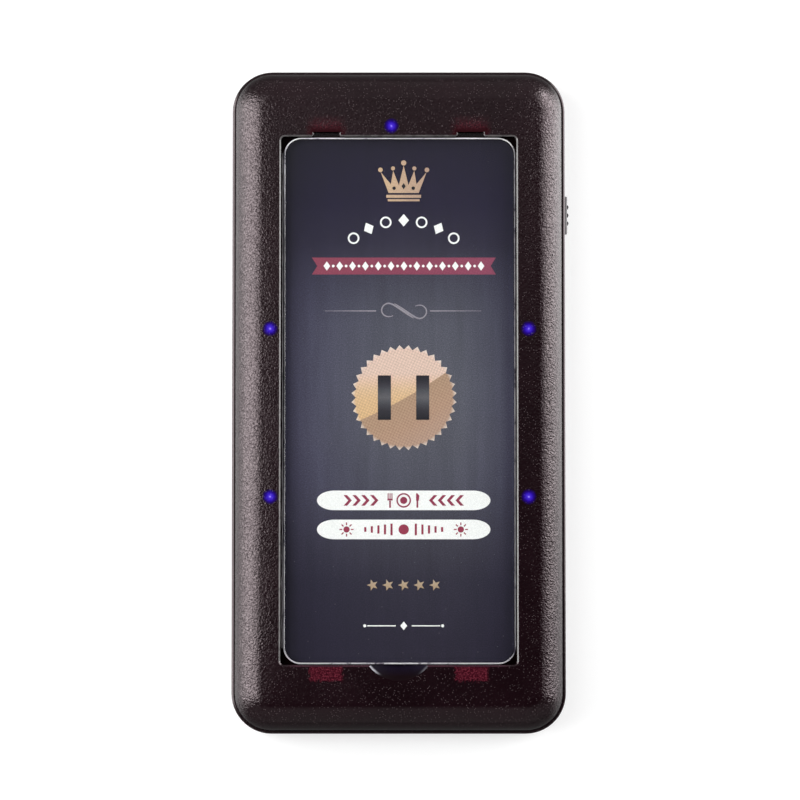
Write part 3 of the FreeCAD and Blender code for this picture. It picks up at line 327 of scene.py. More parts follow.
def casePlastic(name, withGlow):
    material, tree, shader = newMaterial(name)
    place = objectPlace(tree)
    axes = axesOf(tree, place)
    outward = calc(tree, "ABSOLUTE", axes["X"])
    c = casePaint
    cloud = noise(tree, place, 90, 3)
    colour = ramp(tree, cloud, [(0.35, c["deep"]), (0.65, c["pale"])])
    fine = noise(tree, place, c["grain"], 2, 0.5)
    worm = noise(tree, place, c["worm"], 1, 0.5, 0.5)
    # bright flecks painted into the colour stand in for glints of the grain
    paintedGlint = times(tree, span(tree, cells(tree, place, 2200), 0.14, 0.26, 0.9, 0.0),
                  span(tree, noise(tree, place, 330, 2, 0.6), 0.36, 0.60, 0.35, 1.0))
    colour = mixColour(tree, paintedGlint, colour, c["paintedGlint"])
    relief = caseRelief(tree, axes, outward, fine, worm)
    if withGlow:
        rough = calc(tree, "SUBTRACT", noise(tree, place, 1300, 3, 0.7), 0.5)
        rough = times(tree, rough, tabGlow["ragged"] * mm)
        lowPatch, topPatch, under = tabPatches(tree, axes, rough)
        # the red of the patches and the glow is painted light through the shell, speckled by the grain
        red = mixColour(tree, span(tree, fine, 0.45, 0.63), c["tab"], c["tabFleck"])
        colour = mixColour(tree, calc(tree, "MAXIMUM", lowPatch, topPatch), colour, red)
        colour = mixColour(tree, under, colour, c["under"])
        # the chamfer below the window is dull red, and the walls of the opening are nearly black
        seam = times(tree, span(tree, axes["Y"], -52.70 * mm, -52.62 * mm),
                     span(tree, axes["Y"], -52.10 * mm, -52.20 * mm), span(tree, outward, 22 * mm, 20 * mm))
        colour = mixColour(tree, seam, colour, c["seam"])
        along = calc(tree, "ABSOLUTE", axes["Y"])
        inside = times(tree, span(tree, outward, 24.6 * mm, 24.4 * mm), span(tree, along, 56.1 * mm, 55.9 * mm),
                       span(tree, axes["Z"], 13.66 * mm, 13.60 * mm))
        colour = mixColour(tree, inside, colour, c["inside"])
        reach = lightReach(tree, axes, rough)
        dull = calc(tree, "MAXIMUM", times(tree, lowPatch, 0.75), times(tree, under, 0.85))
        dull = calc(tree, "MAXIMUM", dull, times(tree, inside, 0.9))
        dull = calc(tree, "MAXIMUM", dull, span(tree, reach, 1.0, 0.75, 0.0, lights["dull"]))
        speckle = times(tree, span(tree, fine, 0.32, 0.68, -0.55, 0.55),
                        span(tree, outward, 23 * mm, 27 * mm, 0.3, 1.0))
        shine = times(tree, span(tree, dull, 0, 1, 0.5, 0.0), calc(tree, "ADD", speckle, 1.0))
        tree.links.new(shine, shader.inputs["Specular IOR Level"])
        # emission painted round each LED spot stands in for its light shining through the shell
        upper = calc(tree, "GREATER_THAN", axes["Z"], 13.5 * mm)
        glow = mixColour(tree, upper, (0.0, 0.0, 0.0), ramp(tree, reach, lights["tones"]))
        tree.links.new(glow, shader.inputs["Emission Color"])
        shader.inputs["Emission Strength"].default_value = lights["glow"]
        relief = times(tree, relief, calc(tree, "SUBTRACT", 1.0, inside))
    else:
        relief = times(tree, relief, span(tree, axes["Z"], 7.2 * mm, 6.9 * mm))
    rough = span(tree, cloud, 0.3, 0.7, c["roughness"] - 0.01, c["roughness"] + 0.02)
    tree.links.new(colour, shader.inputs["Base Color"])
    tree.links.new(rough, shader.inputs["Roughness"])
    bump(tree, shader, relief, 1.0, c["grainDepth"])
    shader.inputs["IOR"].default_value = c["density"]
    shader.inputs["Specular Tint"].default_value = (*c["mirror"], 1)
    return material


def lipPlastic():
    material, tree, shader = newMaterial("lipPaintedHighlight")
    place = objectPlace(tree)
    paintedHighlightMottle = noise(tree, place, 700, 3)
    # the lip's grey is a painted highlight of the side light, mottled
    tone = ramp(tree, paintedHighlightMottle, [(0.3, (0.06, 0.055, 0.056)), (0.7, (0.14, 0.13, 0.13))])
    tree.links.new(tone, shader.inputs["Base Color"])
    tree.links.new(span(tree, paintedHighlightMottle, 0.3, 0.7, 0.22, 0.36), shader.inputs["Roughness"])
    shader.inputs["IOR"].default_value = 1.7
    bump(tree, shader, noise(tree, place, 3000, 2), 0.5, 0.006 * mm)
    return material


notch = {"x": 0.0, "y": -48.0, "z": 24.7, "radius": 13.0, "deep": (0.0035, 0.0018, 0.0065),
         "pale": (0.0065, 0.0035, 0.0110), "foot": (0.0050, 0.0016, 0.0026), "edge": (0.42, 0.42, 0.46)}


def notchPlastic():
    # smooth navy bowl with a highlight painted on its edge, most at its left
    material, tree, shader = newMaterial("notchPlastic")
    place = objectPlace(tree)
    axes = axesOf(tree, place)
    cloud = noise(tree, place, 600, 3)
    colour = ramp(tree, cloud, [(0.3, notch["deep"]), (0.7, notch["pale"])])
    colour = mixColour(tree, span(tree, axes["Y"], -53.0 * mm, -54.6 * mm), colour, notch["foot"])
    edge = times(tree, span(tree, axes["Z"], 13.70 * mm, 13.90 * mm),
                 span(tree, axes["Y"], -54.3 * mm, -53.4 * mm))
    left = span(tree, axes["X"], -3.0 * mm, -4.2 * mm, 0.0, 0.9)
    right = span(tree, axes["X"], 3.6 * mm, 4.8 * mm, 0.0, 0.16)
    shine = times(tree, edge, calc(tree, "MAXIMUM", left, right))
    tree.links.new(mixColour(tree, shine, colour, notch["edge"]), shader.inputs["Base Color"])
    shader.inputs["Roughness"].default_value = 0.45
    shader.inputs["Specular IOR Level"].default_value = 0.05
    bump(tree, shader, cloud, 0.5, 0.01 * mm)
    return material


frontPlastic = casePlastic("frontPlastic", True)
rearPlastic = casePlastic("rearPlastic", False)
lip = lipPlastic()
print("case materials made")


def mergedCopy(node, name, sharp=28):
    bm = bmesh.new()
    bm.from_mesh(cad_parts[node].data)
    bmesh.ops.remove_doubles(bm, verts=bm.verts, dist=0.0005 * mm)
    piece = pieceFrom(bm, name)
    for attribute in list(piece.data.attributes):
        if attribute.name == "custom_normal":
            piece.data.attributes.remove(attribute)
    smoothFaces(piece.data, sharp)
    even = piece.modifiers.new("evenNormals", "WEIGHTED_NORMAL")
    even.keep_sharp = True
    even.weight = 80
    return piece


def dress(piece, materials, choose=None):
    for material in materials:
        piece.data.materials.append(material)
    if choose:
        for face in piece.data.polygons:
            face.material_index = choose(face)


def finishPiece(piece, body, slot, *nodes):
    if nodes:
        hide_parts(*nodes)
    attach(piece, body)


frontCover = mergedCopy("front_shell", "frontCover")
_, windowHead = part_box("card_window")
lipBand = {"slant": (0.35, 0.95), "low": 13.6, "high": 14.0, "beside": 1.0, "above": 0.6,
           "foot": -51.7, "tabHalf": 2.62}


def coverPart(face):
    # 1 is the lip round the window, with its highlight painted grey, and 2 the nail notch
    x, y, z = face.center
    fromNotch = math.dist((x / mm, y / mm, z / mm), (notch["x"], notch["y"], notch["z"]))
    if abs(fromNotch - notch["radius"]) < 0.08:
        return 2
    slanted = lipBand["slant"][0] < face.normal.z < lipBand["slant"][1]
    inBand = lipBand["low"] * mm < z < lipBand["high"] * mm
    near = (abs(x) < windowHead.x + lipBand["beside"] * mm
            and lipBand["foot"] * mm < y < windowHead.y + lipBand["above"] * mm)
    atTab = abs(abs(x) - tabGlow["across"] * mm) < lipBand["tabHalf"] * mm and y > 0
    return 1 if slanted and inBand and near and not atTab else 0


dress(frontCover, [frontPlastic, lip, notchPlastic()], coverPart)
finishPiece(frontCover, "case", "case_plastic", "front_shell")
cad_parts["rear_shell"].data.materials[0] = rearPlastic
print("front cover made")


card = {"top": 11.90, "layer": 0.012, "stroke": 0.010, "corner": 3.4}
cardFoot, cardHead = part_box("card_insert")


def makeCardPaper():
    material, tree, shader = newMaterial("cardPrintGround")
    place = objectPlace(tree)
    axes = axesOf(tree, place)
    # a pale cloud behind the seal fades to navy at both ends and at the sides
    ground = ramp(tree, span(tree, axes["Y"], -52 * mm, 52 * mm),
                  [(0.04, (0.0165, 0.0140, 0.0285)), (0.154, (0.0225, 0.0205, 0.036)), (0.229, (0.0385, 0.0370, 0.054)),
                   (0.343, (0.067, 0.068, 0.093)), (0.423, (0.078, 0.080, 0.104)), (0.534, (0.082, 0.085, 0.110)),
                   (0.647, (0.072, 0.0740, 0.099)), (0.724, (0.048, 0.0480, 0.071)), (0.80, (0.0215, 0.0190, 0.038)),
                   (0.876, (0.0110, 0.0082, 0.0275)), (0.99, (0.0070, 0.0050, 0.0180))])
    shade = ramp(tree, span(tree, axes["X"], -23.5 * mm, 23.5 * mm),
                 [(0.04, (0.37, 0.33, 0.50)), (0.083, (0.57, 0.53, 0.72)), (0.166, (0.73, 0.70, 0.86)),
                  (0.25, (0.83, 0.81, 0.92)), (0.415, (0.95, 0.95, 0.98)), (0.56, (1, 1, 1)), (0.755, (1, 1, 1)),
                  (0.84, (0.92, 0.91, 0.97)), (0.926, (0.75, 0.73, 0.85)), (0.96, (0.56, 0.53, 0.68))])
    ground = mixColour(tree, 1.0, ground, shade, "MULTIPLY")
    speck = noise(tree, place, 4200, 2, 0.7)
    ground = mixColour(tree, 1.0, ground, ramp(tree, speck, [(0.30, 0.72), (0.50, 1.0), (0.72, 1.45)]), "MULTIPLY")
    drawn = addNode(tree, "Mapping", {"Vector": place, "Scale": (1.0, 0.10, 1.0)}).outputs[0]
    streaks = noise(tree, drawn, 420, 3, 0.6)
    ground = mixColour(tree, 1.0, ground, ramp(tree, streaks, [(0.30, 0.90), (0.70, 1.10)]), "MULTIPLY")
    dust = span(tree, cells(tree, place, 620), 0.035, 0.07, 0.30, 0.0)
    ground = mixColour(tree, dust, ground, (0.22, 0.22, 0.24))
    tree.links.new(ground, shader.inputs["Base Color"])
    shader.inputs["Roughness"].default_value = 0.55
    shader.inputs["Specular IOR Level"].default_value = 0.2
    bump(tree, shader, speck, 0.3, 0.01 * mm)
    return material


def inkMaterial(name, stops, direction=(0, 1), low=-5.0, high=5.0, dots=0.12, pitch=1900):
    # colour runs from low to high, in mm along direction, with the screen dots of offset print
    material, tree, shader = newMaterial(name)
    place = objectPlace(tree)
    axes = axesOf(tree, place)
    along = calc(tree, "ADD", times(tree, axes["X"], direction[0]), times(tree, axes["Y"], direction[1]))
    colour = ramp(tree, span(tree, along, low * mm, high * mm), stops)
    turned = addNode(tree, "Mapping", {"Vector": place, "Rotation": (0, 0, math.radians(22))}).outputs[0]
    dot = cells(tree, turned, pitch, randomness=0.0)
    tone = ramp(tree, dot, [(0.0, 1.0 + dots), (0.35, 1.0), (0.7, 1.0 - dots)])
    colour = mixColour(tree, 1.0, colour, tone, "MULTIPLY")
    grit = noise(tree, place, 3000, 2, 0.6)
    colour = mixColour(tree, 1.0, colour, ramp(tree, grit, [(0.3, 0.93), (0.7, 1.06)]), "MULTIPLY")
    tree.links.new(colour, shader.inputs["Base Color"])
    shader.inputs["Roughness"].default_value = 0.5
    shader.inputs["Specular IOR Level"].default_value = 0.2
    return material


def addDisc(bm, x, y, radius, segments=32, turn=0.0, stretch=(1, 1)):
    spot = (Matrix.Translation((x * mm, y * mm, 0)) @ Matrix.Rotation(math.radians(turn), 4, "Z")
            @ Matrix.Diagonal((stretch[0], stretch[1], 1, 1)))
    bmesh.ops.create_circle(bm, cap_ends=True, segments=segments, radius=radius * mm, matrix=spot)


def addBar(bm, x, y, width, height, turn=0.0):
    spot = (Matrix.Translation((x * mm, y * mm, 0)) @ Matrix.Rotation(math.radians(turn), 4, "Z")
            @ Matrix.Diagonal((width * mm, height * mm, 1, 1)))
    bmesh.ops.create_grid(bm, x_segments=1, y_segments=1, size=0.5, matrix=spot)


def addPolygon(bm, points):
    bm.faces.new([bm.verts.new((x * mm, y * mm, 0)) for x, y in points])


def addPill(bm, x, y, halfWidth, halfHeight, reach=0.0, segments=40):
    # reach is the length of each oval end, and a round one where it is left out
    reach = reach or halfHeight
    made = bmesh.ops.create_circle(bm, cap_ends=True, segments=segments, radius=halfHeight * mm,
                                   matrix=Matrix.Rotation(math.pi / segments, 4, "Z"))
    for v in made["verts"]:
        v.co.x = v.co.x * reach / halfHeight + math.copysign((halfWidth - reach) * mm, v.co.x)
    bmesh.ops.translate(bm, vec=(x * mm, y * mm, 0), verts=made["verts"])


def addRing(bm, x, y, radius, width, segments=36):
    made = bmesh.ops.create_circle(bm, cap_ends=True, segments=segments, radius=radius * mm,
                                   matrix=Matrix.Translation((x * mm, y * mm, 0)))
    face = made["verts"][0].link_faces[0]
    bmesh.ops.inset_individual(bm, faces=[face], thickness=width * mm, use_even_offset=True)
    bmesh.ops.delete(bm, geom=[face], context="FACES")


def addStar(bm, x, y, radius, points=5, waist=0.42, turn=90.0):
    made = bmesh.ops.create_circle(bm, cap_ends=True, segments=2 * points, radius=radius * mm)
    for index, v in enumerate(made["verts"]):
        if index % 2:
            v.co *= waist
    spot = Matrix.Translation((x * mm, y * mm, 0)) @ Matrix.Rotation(math.radians(turn), 4, "Z")
    bmesh.ops.transform(bm, matrix=spot, verts=made["verts"])


def printPiece(name, material, layer, draw):
    # layer 1 lies on the card, and each further one on the last
    bm = bmesh.new()
    draw(bm)
    bmesh.ops.translate(bm, vec=(0, 0, (card["top"] + card["layer"] * (layer - 1)) * mm), verts=bm.verts)
    raiseFaces(bm, card["layer"] * mm)
    bmesh.ops.recalc_face_normals(bm, faces=bm.faces)
    finishPiece(pieceFrom(bm, name, material), "case", "card_paper")


def makeCard():
    bm = bmesh.new()
    width, height = (cardHead.x - cardFoot.x) / mm, (cardHead.y - cardFoot.y) / mm
    addBar(bm, (cardHead.x + cardFoot.x) / 2 / mm, (cardHead.y + cardFoot.y) / 2 / mm, width, height)
    bmesh.ops.bevel(bm, geom=bm.verts[:], offset=card["corner"] * mm, segments=10, profile=0.5,
                    affect="VERTICES", material=-1)
    bmesh.ops.translate(bm, vec=(0, 0, cardFoot.z), verts=bm.verts)
    raiseFaces(bm, card["top"] * mm - cardFoot.z)
    bmesh.ops.recalc_face_normals(bm, faces=bm.faces)
    finishPiece(pieceFrom(bm, "printedCard", makeCardPaper()), "case", "card_paper", "card_insert")


makeCard()

seal = {"x": 1.05, "y": 0.52, "tip": 10.45, "valley": 9.55, "teeth": 36, "turn": 5,
        "slope": 0.56, "bow": 8.0, "rim": (9.6 * mm, 10.3 * mm), "rimColour": (0.72, 0.66, 0.60)}
bars = {"x": (-2.83, 4.76), "y": 0.52, "width": 2.60, "height": 8.82}


def drawSeal(bm):
    made = bmesh.ops.create_circle(bm, cap_ends=True, segments=2 * seal["teeth"], radius=seal["tip"] * mm,
                                   matrix=Matrix.Rotation(math.radians(seal["turn"]), 4, "Z"))
    for index, v in enumerate(made["verts"]):
        if index % 2:
            v.co *= seal["valley"] / seal["tip"]
    bmesh.ops.translate(bm, vec=(seal["x"] * mm, seal["y"] * mm, 0), verts=made["verts"])


def sealInk():
    material, tree, shader = newMaterial("sealInk")
    place = objectPlace(tree)
    axes = axesOf(tree, place)
    x = calc(tree, "SUBTRACT", axes["X"], seal["x"] * mm)
    y = calc(tree, "SUBTRACT", axes["Y"], seal["y"] * mm)
    # the fold runs from lower left to upper right, a little bowed
    bow = times(tree, x, x, seal["bow"])
    slope = calc(tree, "ADD", times(tree, x, seal["slope"]), bow)
    fold = calc(tree, "SUBTRACT", calc(tree, "ADD", y, 0.2 * mm), slope)
    side = span(tree, fold, -0.05 * mm, 0.05 * mm)
    upper = ramp(tree, span(tree, y, -5 * mm, 7 * mm),
                 [(0.0, (0.640, 0.420, 0.215)), (0.40, (0.645, 0.435, 0.245)), (0.56, (0.655, 0.455, 0.285)),
                  (0.70, (0.690, 0.485, 0.365)), (0.82, (0.680, 0.502, 0.420)), (1.0, (0.680, 0.502, 0.420))])
    lower = ramp(tree, span(tree, fold, -12 * mm, 0),
                 [(0.0, (0.425, 0.285, 0.220)), (0.5, (0.410, 0.262, 0.182)), (1.0, (0.390, 0.258, 0.170))])
    colour = mixColour(tree, side, lower, upper)
    turned = addNode(tree, "Mapping", {"Vector": place, "Rotation": (0, 0, math.radians(24))}).outputs[0]
    dot = cells(tree, turned, 1850, randomness=0.0)
    tone = ramp(tree, dot, [(0.0, 1.18), (0.35, 1.0), (0.7, 0.78)])
    colour = mixColour(tree, 1.0, colour, tone, "MULTIPLY")
    # pale rim along the teeth
    out = calc(tree, "SQRT", calc(tree, "ADD", times(tree, x, x), times(tree, y, y)))
    rim = span(tree, out, *seal["rim"], 0.0, 0.75)
    colour = mixColour(tree, rim, colour, seal["rimColour"])
    grit = noise(tree, place, 3000, 2, 0.6)
    colour = mixColour(tree, 1.0, colour, ramp(tree, grit, [(0.3, 0.92), (0.7, 1.07)]), "MULTIPLY")
    tree.links.new(colour, shader.inputs["Base Color"])
    shader.inputs["Roughness"].default_value = 0.5
    shader.inputs["Specular IOR Level"].default_value = 0.2
    return material


def drawBars(bm):
    for x in bars["x"]:
        addBar(bm, x, bars["y"], bars["width"], bars["height"])


barInk = inkMaterial("barInk",
                     [(0.0, (0.012, 0.012, 0.018)), (0.09, (0.020, 0.019, 0.026)), (0.20, (0.027, 0.026, 0.034)),
                      (0.336, (0.052, 0.052, 0.064)), (0.405, (0.073, 0.073, 0.086)), (0.507, (0.104, 0.104, 0.114)),
                      (0.61, (0.080, 0.080, 0.092)), (0.745, (0.045, 0.044, 0.057)), (0.88, (0.021, 0.020, 0.028)),
                      (1.0, (0.014, 0.012, 0.018))],
                     low=bars["y"] - 4.4, high=bars["y"] + 4.4, dots=0.05)
goldInk = inkMaterial("goldInk", [(0.0, (0.60, 0.42, 0.26)), (0.5, (0.52, 0.36, 0.25)), (1.0, (0.44, 0.30, 0.22))],
                      direction=(1, 0), low=-4, high=6, dots=0.10)
starInk = inkMaterial("starInk", [(0.0, (0.40, 0.28, 0.17)), (1.0, (0.46, 0.36, 0.26))],
                      low=-37.6, high=-35.4, dots=0.12)
whiteInk = inkMaterial("whiteInk", [(0.0, (0.87, 0.885, 0.875)), (1.0, (0.87, 0.885, 0.875))], dots=0.02)
crimsonInk = inkMaterial("crimsonInk",
                         [(0.0, (0.265, 0.054, 0.092)), (0.5, (0.250, 0.052, 0.096)), (1.0, (0.275, 0.062, 0.115))],
                         direction=(1, 0), low=-18, high=20, dots=0.14)
maroonInk = inkMaterial("maroonInk", [(0.0, (0.30, 0.040, 0.075)), (1.0, (0.27, 0.036, 0.080))],
                        low=-28, high=-18, dots=0.10)
greyInk = inkMaterial("greyInk", [(0.0, (0.30, 0.28, 0.32)), (1.0, (0.30, 0.28, 0.32))], dots=0.10)

printPiece("seal", sealInk(), 1, drawSeal)
printPiece("sealBars", barInk, 2, drawBars)

crown = {"x": 0.99, "foot": 39.5,
         "outline": [(-3.0, 1.75), (3.0, 1.75), (4.55, 5.9), (2.55, 3.5), (2.1, 6.2), (0.95, 3.3),
                     (0, 7.2), (-0.95, 3.3), (-2.1, 6.2), (-2.55, 3.5), (-4.55, 5.9)],
         "balls": [(-4.62, 6.35, 0.46), (-2.12, 6.65, 0.40), (0, 7.75, 0.52), (2.12, 6.65, 0.40), (4.62, 6.35, 0.46)]}


def drawCrown(bm):
    # five points with a ball on each, on two bands
    x, y = crown["x"], crown["foot"]
    addBar(bm, x, y + 0.30, 6.3, 0.42)
    addBar(bm, x, y + 1.08, 6.9, 0.58)
    addPolygon(bm, [(x + px, y + py) for px, py in crown["outline"]])
    for px, py, r in crown["balls"]:
        addDisc(bm, x + px, y + py, r, 20)


def drawGem(bm):
    addDisc(bm, crown["x"], crown["foot"] + 3.1, 0.55, 4, 0, (0.75, 1.15))
    for px in (-1.9, 1.9):
        addDisc(bm, crown["x"] + px, crown["foot"] + 2.7, 0.35, 16)


printPiece("crown", goldInk, 1, drawCrown)
printPiece("crownGems", barInk, 2, drawGem)

arc = {"x": 0.99, "y": 20.2, "radius": 15.6, "step": 13.2}


def drawArc(bm):
    # seven marks on an arc: open rings between lozenges
    for index in range(-3, 4):
        turn = math.radians(index * arc["step"])
        x, y = arc["x"] + arc["radius"] * math.sin(turn), arc["y"] + arc["radius"] * math.cos(turn)
        if index % 2:
            addRing(bm, x, y, 1.15, 0.34)
        else:
            addDisc(bm, x, y, 1.25, 4, -math.degrees(turn), (0.85, 1.0))


printPiece("arcMarks", whiteInk, 1, drawArc)

ribbon = {"x": 1.04, "y": 26.68, "half": 18.25, "height": 3.37, "notch": 1.05, "marks": 13, "pitch": 2.55}


def drawRibbon(bm):
    x, y, half, tall = ribbon["x"], ribbon["y"], ribbon["half"], ribbon["height"] / 2
    addPolygon(bm, [(x - half, y - tall), (x + half, y - tall), (x + half - ribbon["notch"], y), (x + half, y + tall),
                    (x - half, y + tall), (x - half + ribbon["notch"], y)])


def drawRibbonMarks(bm):
    for index in range(ribbon["marks"]):
        x = ribbon["x"] + (index - (ribbon["marks"] - 1) / 2) * ribbon["pitch"]
        addDisc(bm, x, ribbon["y"], 0.92, 4, 0, (0.72, 1.0))
        if index:
            addDisc(bm, x - ribbon["pitch"] / 2, ribbon["y"], 0.27, 14)


printPiece("ribbon", crimsonInk, 1, drawRibbon)
printPiece("ribbonMarks", whiteInk, 2, drawRibbonMarks)

divider = {"y": 17.75, "left": (-14.6, -4.5), "right": (6.2, 16.4), "thick": 0.24, "steps": 6, "taper": 1.5,
           "curlAt": 1.07, "curlThick": 0.26}


def drawDividerLines(bm):
    for near, far in ((divider["left"][1], divider["left"][0]), (divider["right"][0], divider["right"][1])):
        steps = divider["steps"]
        width = (far - near) / steps
        for step in range(steps):
            thick = divider["thick"] * (1 - step / (steps + divider["taper"]))
            addBar(bm, near + width * (step + 0.5), divider["y"], abs(width) * 1.001, thick)


def strokePiece(name, material, layer, strokes, thick):
    # strokes are smooth lines through a few points, flattened onto the card
    joined = bmesh.new()
    for points in strokes:
        curve = bpy.data.curves.new(name + "Line", "CURVE")
        curve.dimensions = "3D"
        curve.bevel_depth = thick / 2 * mm
        curve.bevel_resolution = 1
        curve.use_fill_caps = True
        curve.resolution_u = 10
        line = curve.splines.new("NURBS")
        line.points.add(len(points) - 1)
        for point, (x, y, swell) in zip(line.points, points):
            point.co = (x * mm, y * mm, 0, 1)
            point.radius = swell
        line.order_u = 4
        line.use_endpoint_u = True
        holder = bpy.data.objects.new(name + "Line", curve)
        scene.collection.objects.link(holder)
        mesh = bpy.data.meshes.new_from_object(holder.evaluated_get(bpy.context.evaluated_depsgraph_get()))
        joined.from_mesh(mesh)
        bpy.data.objects.remove(holder)
        bpy.data.curves.remove(curve)
        bpy.data.meshes.remove(mesh)
    middle = card["top"] + card["layer"] * (layer - 0.5)
    flat = Matrix.Translation((0, 0, middle * mm)) @ Matrix.Diagonal((1, 1, card["stroke"] / thick, 1))
    bmesh.ops.transform(joined, matrix=flat, verts=joined.verts)
    bmesh.ops.recalc_face_normals(joined, faces=joined.faces)
    finishPiece(pieceFrom(joined, name, material), "case", "card_paper")


curl = [(-2.2, -0.95, 0.5), (-3.2, -1.35, 0.9), (-4.45, -0.75, 1.0), (-4.55, 0.75, 1.0), (-3.3, 1.75, 1.1),
        (-2.0, 1.2, 1.3), (-0.3, 0.0, 1.3), (1.0, -0.9, 1.1), (1.9, -1.45, 0.5)]
strokes = []
for sign in (1, -1):
    strokes.append([(divider["curlAt"] + sign * x, divider["y"] + sign * y, swell) for x, y, swell in curl])
printPiece("dividerLines", greyInk, 1, drawDividerLines)
strokePiece("dividerCurl", greyInk, 1, strokes, divider["curlThick"])

pills = {"x": 0.99, "half": 17.15, "tall": 1.94, "reach": 3.5, "y": (-19.83, -25.58)}
cutlery = {"away": 2.7, "handle": 0.34, "prongs": 0.38}
chevrons = {"count": 4, "first": 5.0, "pitch": 1.75, "back": 0.95, "tall": 1.05}
waves = {"count": 5, "first": 2.4, "pitch": 1.3, "tall": 2.3, "fall": 0.34}
suns = {"away": 11.3, "radius": 0.62, "rays": 8, "rayAt": 1.12}


def drawPills(bm):
    for y in pills["y"]:
        addPill(bm, pills["x"], y, pills["half"], pills["tall"], pills["reach"])


def drawPlate(bm, x, y):
    # plate between a fork and a knife
    addRing(bm, x, y, 1.45, 0.30)
    addDisc(bm, x, y, 0.70, 24)
    fork, knife = x - cutlery["away"], x + cutlery["away"]
    for handle in (fork, knife):
        addBar(bm, handle, y - 0.75, cutlery["handle"], 1.4)
    addBar(bm, fork, y + 0.15, 1.06, cutlery["handle"])
    for prong in (-cutlery["prongs"], 0, cutlery["prongs"]):
        addBar(bm, fork + prong, y + 0.86, 0.20, 1.10)
    addPolygon(bm, [(knife - 0.25, y - 0.05), (knife + 0.3, y - 0.05), (knife + 0.4, y + 0.9),
                    (knife + 0.02, y + 1.42), (knife - 0.25, y + 1.42)])


def drawChevrons(bm, x, y):
    # chevrons that point to the plate
    for side in (-1, 1):
        for index in range(chevrons["count"]):
            tip = x + side * (chevrons["first"] + chevrons["pitch"] * index)
            back, tall = side * chevrons["back"], chevrons["tall"]
            outline = [(tip, y), (tip + back, y + tall), (tip + back * 1.75, y + tall), (tip + back * 0.75, y),
                       (tip + back * 1.75, y - tall), (tip + back, y - tall)]
            addPolygon(bm, outline[::side])


def drawWaves(bm, x, y):
    # dot between waves that die away, with a sun at each end
    addPill(bm, x, y, 1.02, 1.0)
    for side in (-1, 1):
        for index in range(waves["count"]):
            away = side * (waves["first"] + waves["pitch"] * index)
            addBar(bm, x + away, y, 0.42, waves["tall"] - waves["fall"] * index)
        sun = x + side * suns["away"]
        addDisc(bm, sun, y, suns["radius"], 24)
        for ray in range(suns["rays"]):
            turn = ray * 360 / suns["rays"]
            rx, ry = math.cos(math.radians(turn)), math.sin(math.radians(turn))
            addBar(bm, sun + suns["rayAt"] * rx, y + suns["rayAt"] * ry, 0.55, 0.24, turn)


def drawPillMarks(bm):
    upper, lower = pills["y"]
    drawPlate(bm, pills["x"], upper)
    drawChevrons(bm, pills["x"], upper)
    drawWaves(bm, pills["x"], lower)


printPiece("pills", whiteInk, 1, drawPills)
printPiece("pillMarks", maroonInk, 2, drawPillMarks)


stars = {"x": 1.01, "y": -36.56, "pitch": 3.085, "radius": 1.16, "count": 5}


def drawStars(bm):
    for index in range(stars["count"]):
        shift = (index - (stars["count"] - 1) / 2) * stars["pitch"]
        addStar(bm, stars["x"] + shift, stars["y"], stars["radius"])


printPiece("stars", starInk, 1, drawStars)

footRule = {"x": 1.0, "y": -44.6, "barAt": 4.4, "barLength": 5.6, "thick": 0.22, "diamond": 0.85,
            "dotAt": 7.7, "dot": 0.30}


def drawFootRule(bm):
    x, y = footRule["x"], footRule["y"]
    for side in (-1, 1):
        addBar(bm, x + side * footRule["barAt"], y, footRule["barLength"], footRule["thick"])
    addDisc(bm, x, y, footRule["diamond"], 4, 0, (0.8, 1.0))
    for side in (-1, 1):
        addDisc(bm, x + side * footRule["dotAt"], y, footRule["dot"], 14)


printPiece("footRule", whiteInk, 1, drawFootRule)
print("card printed")


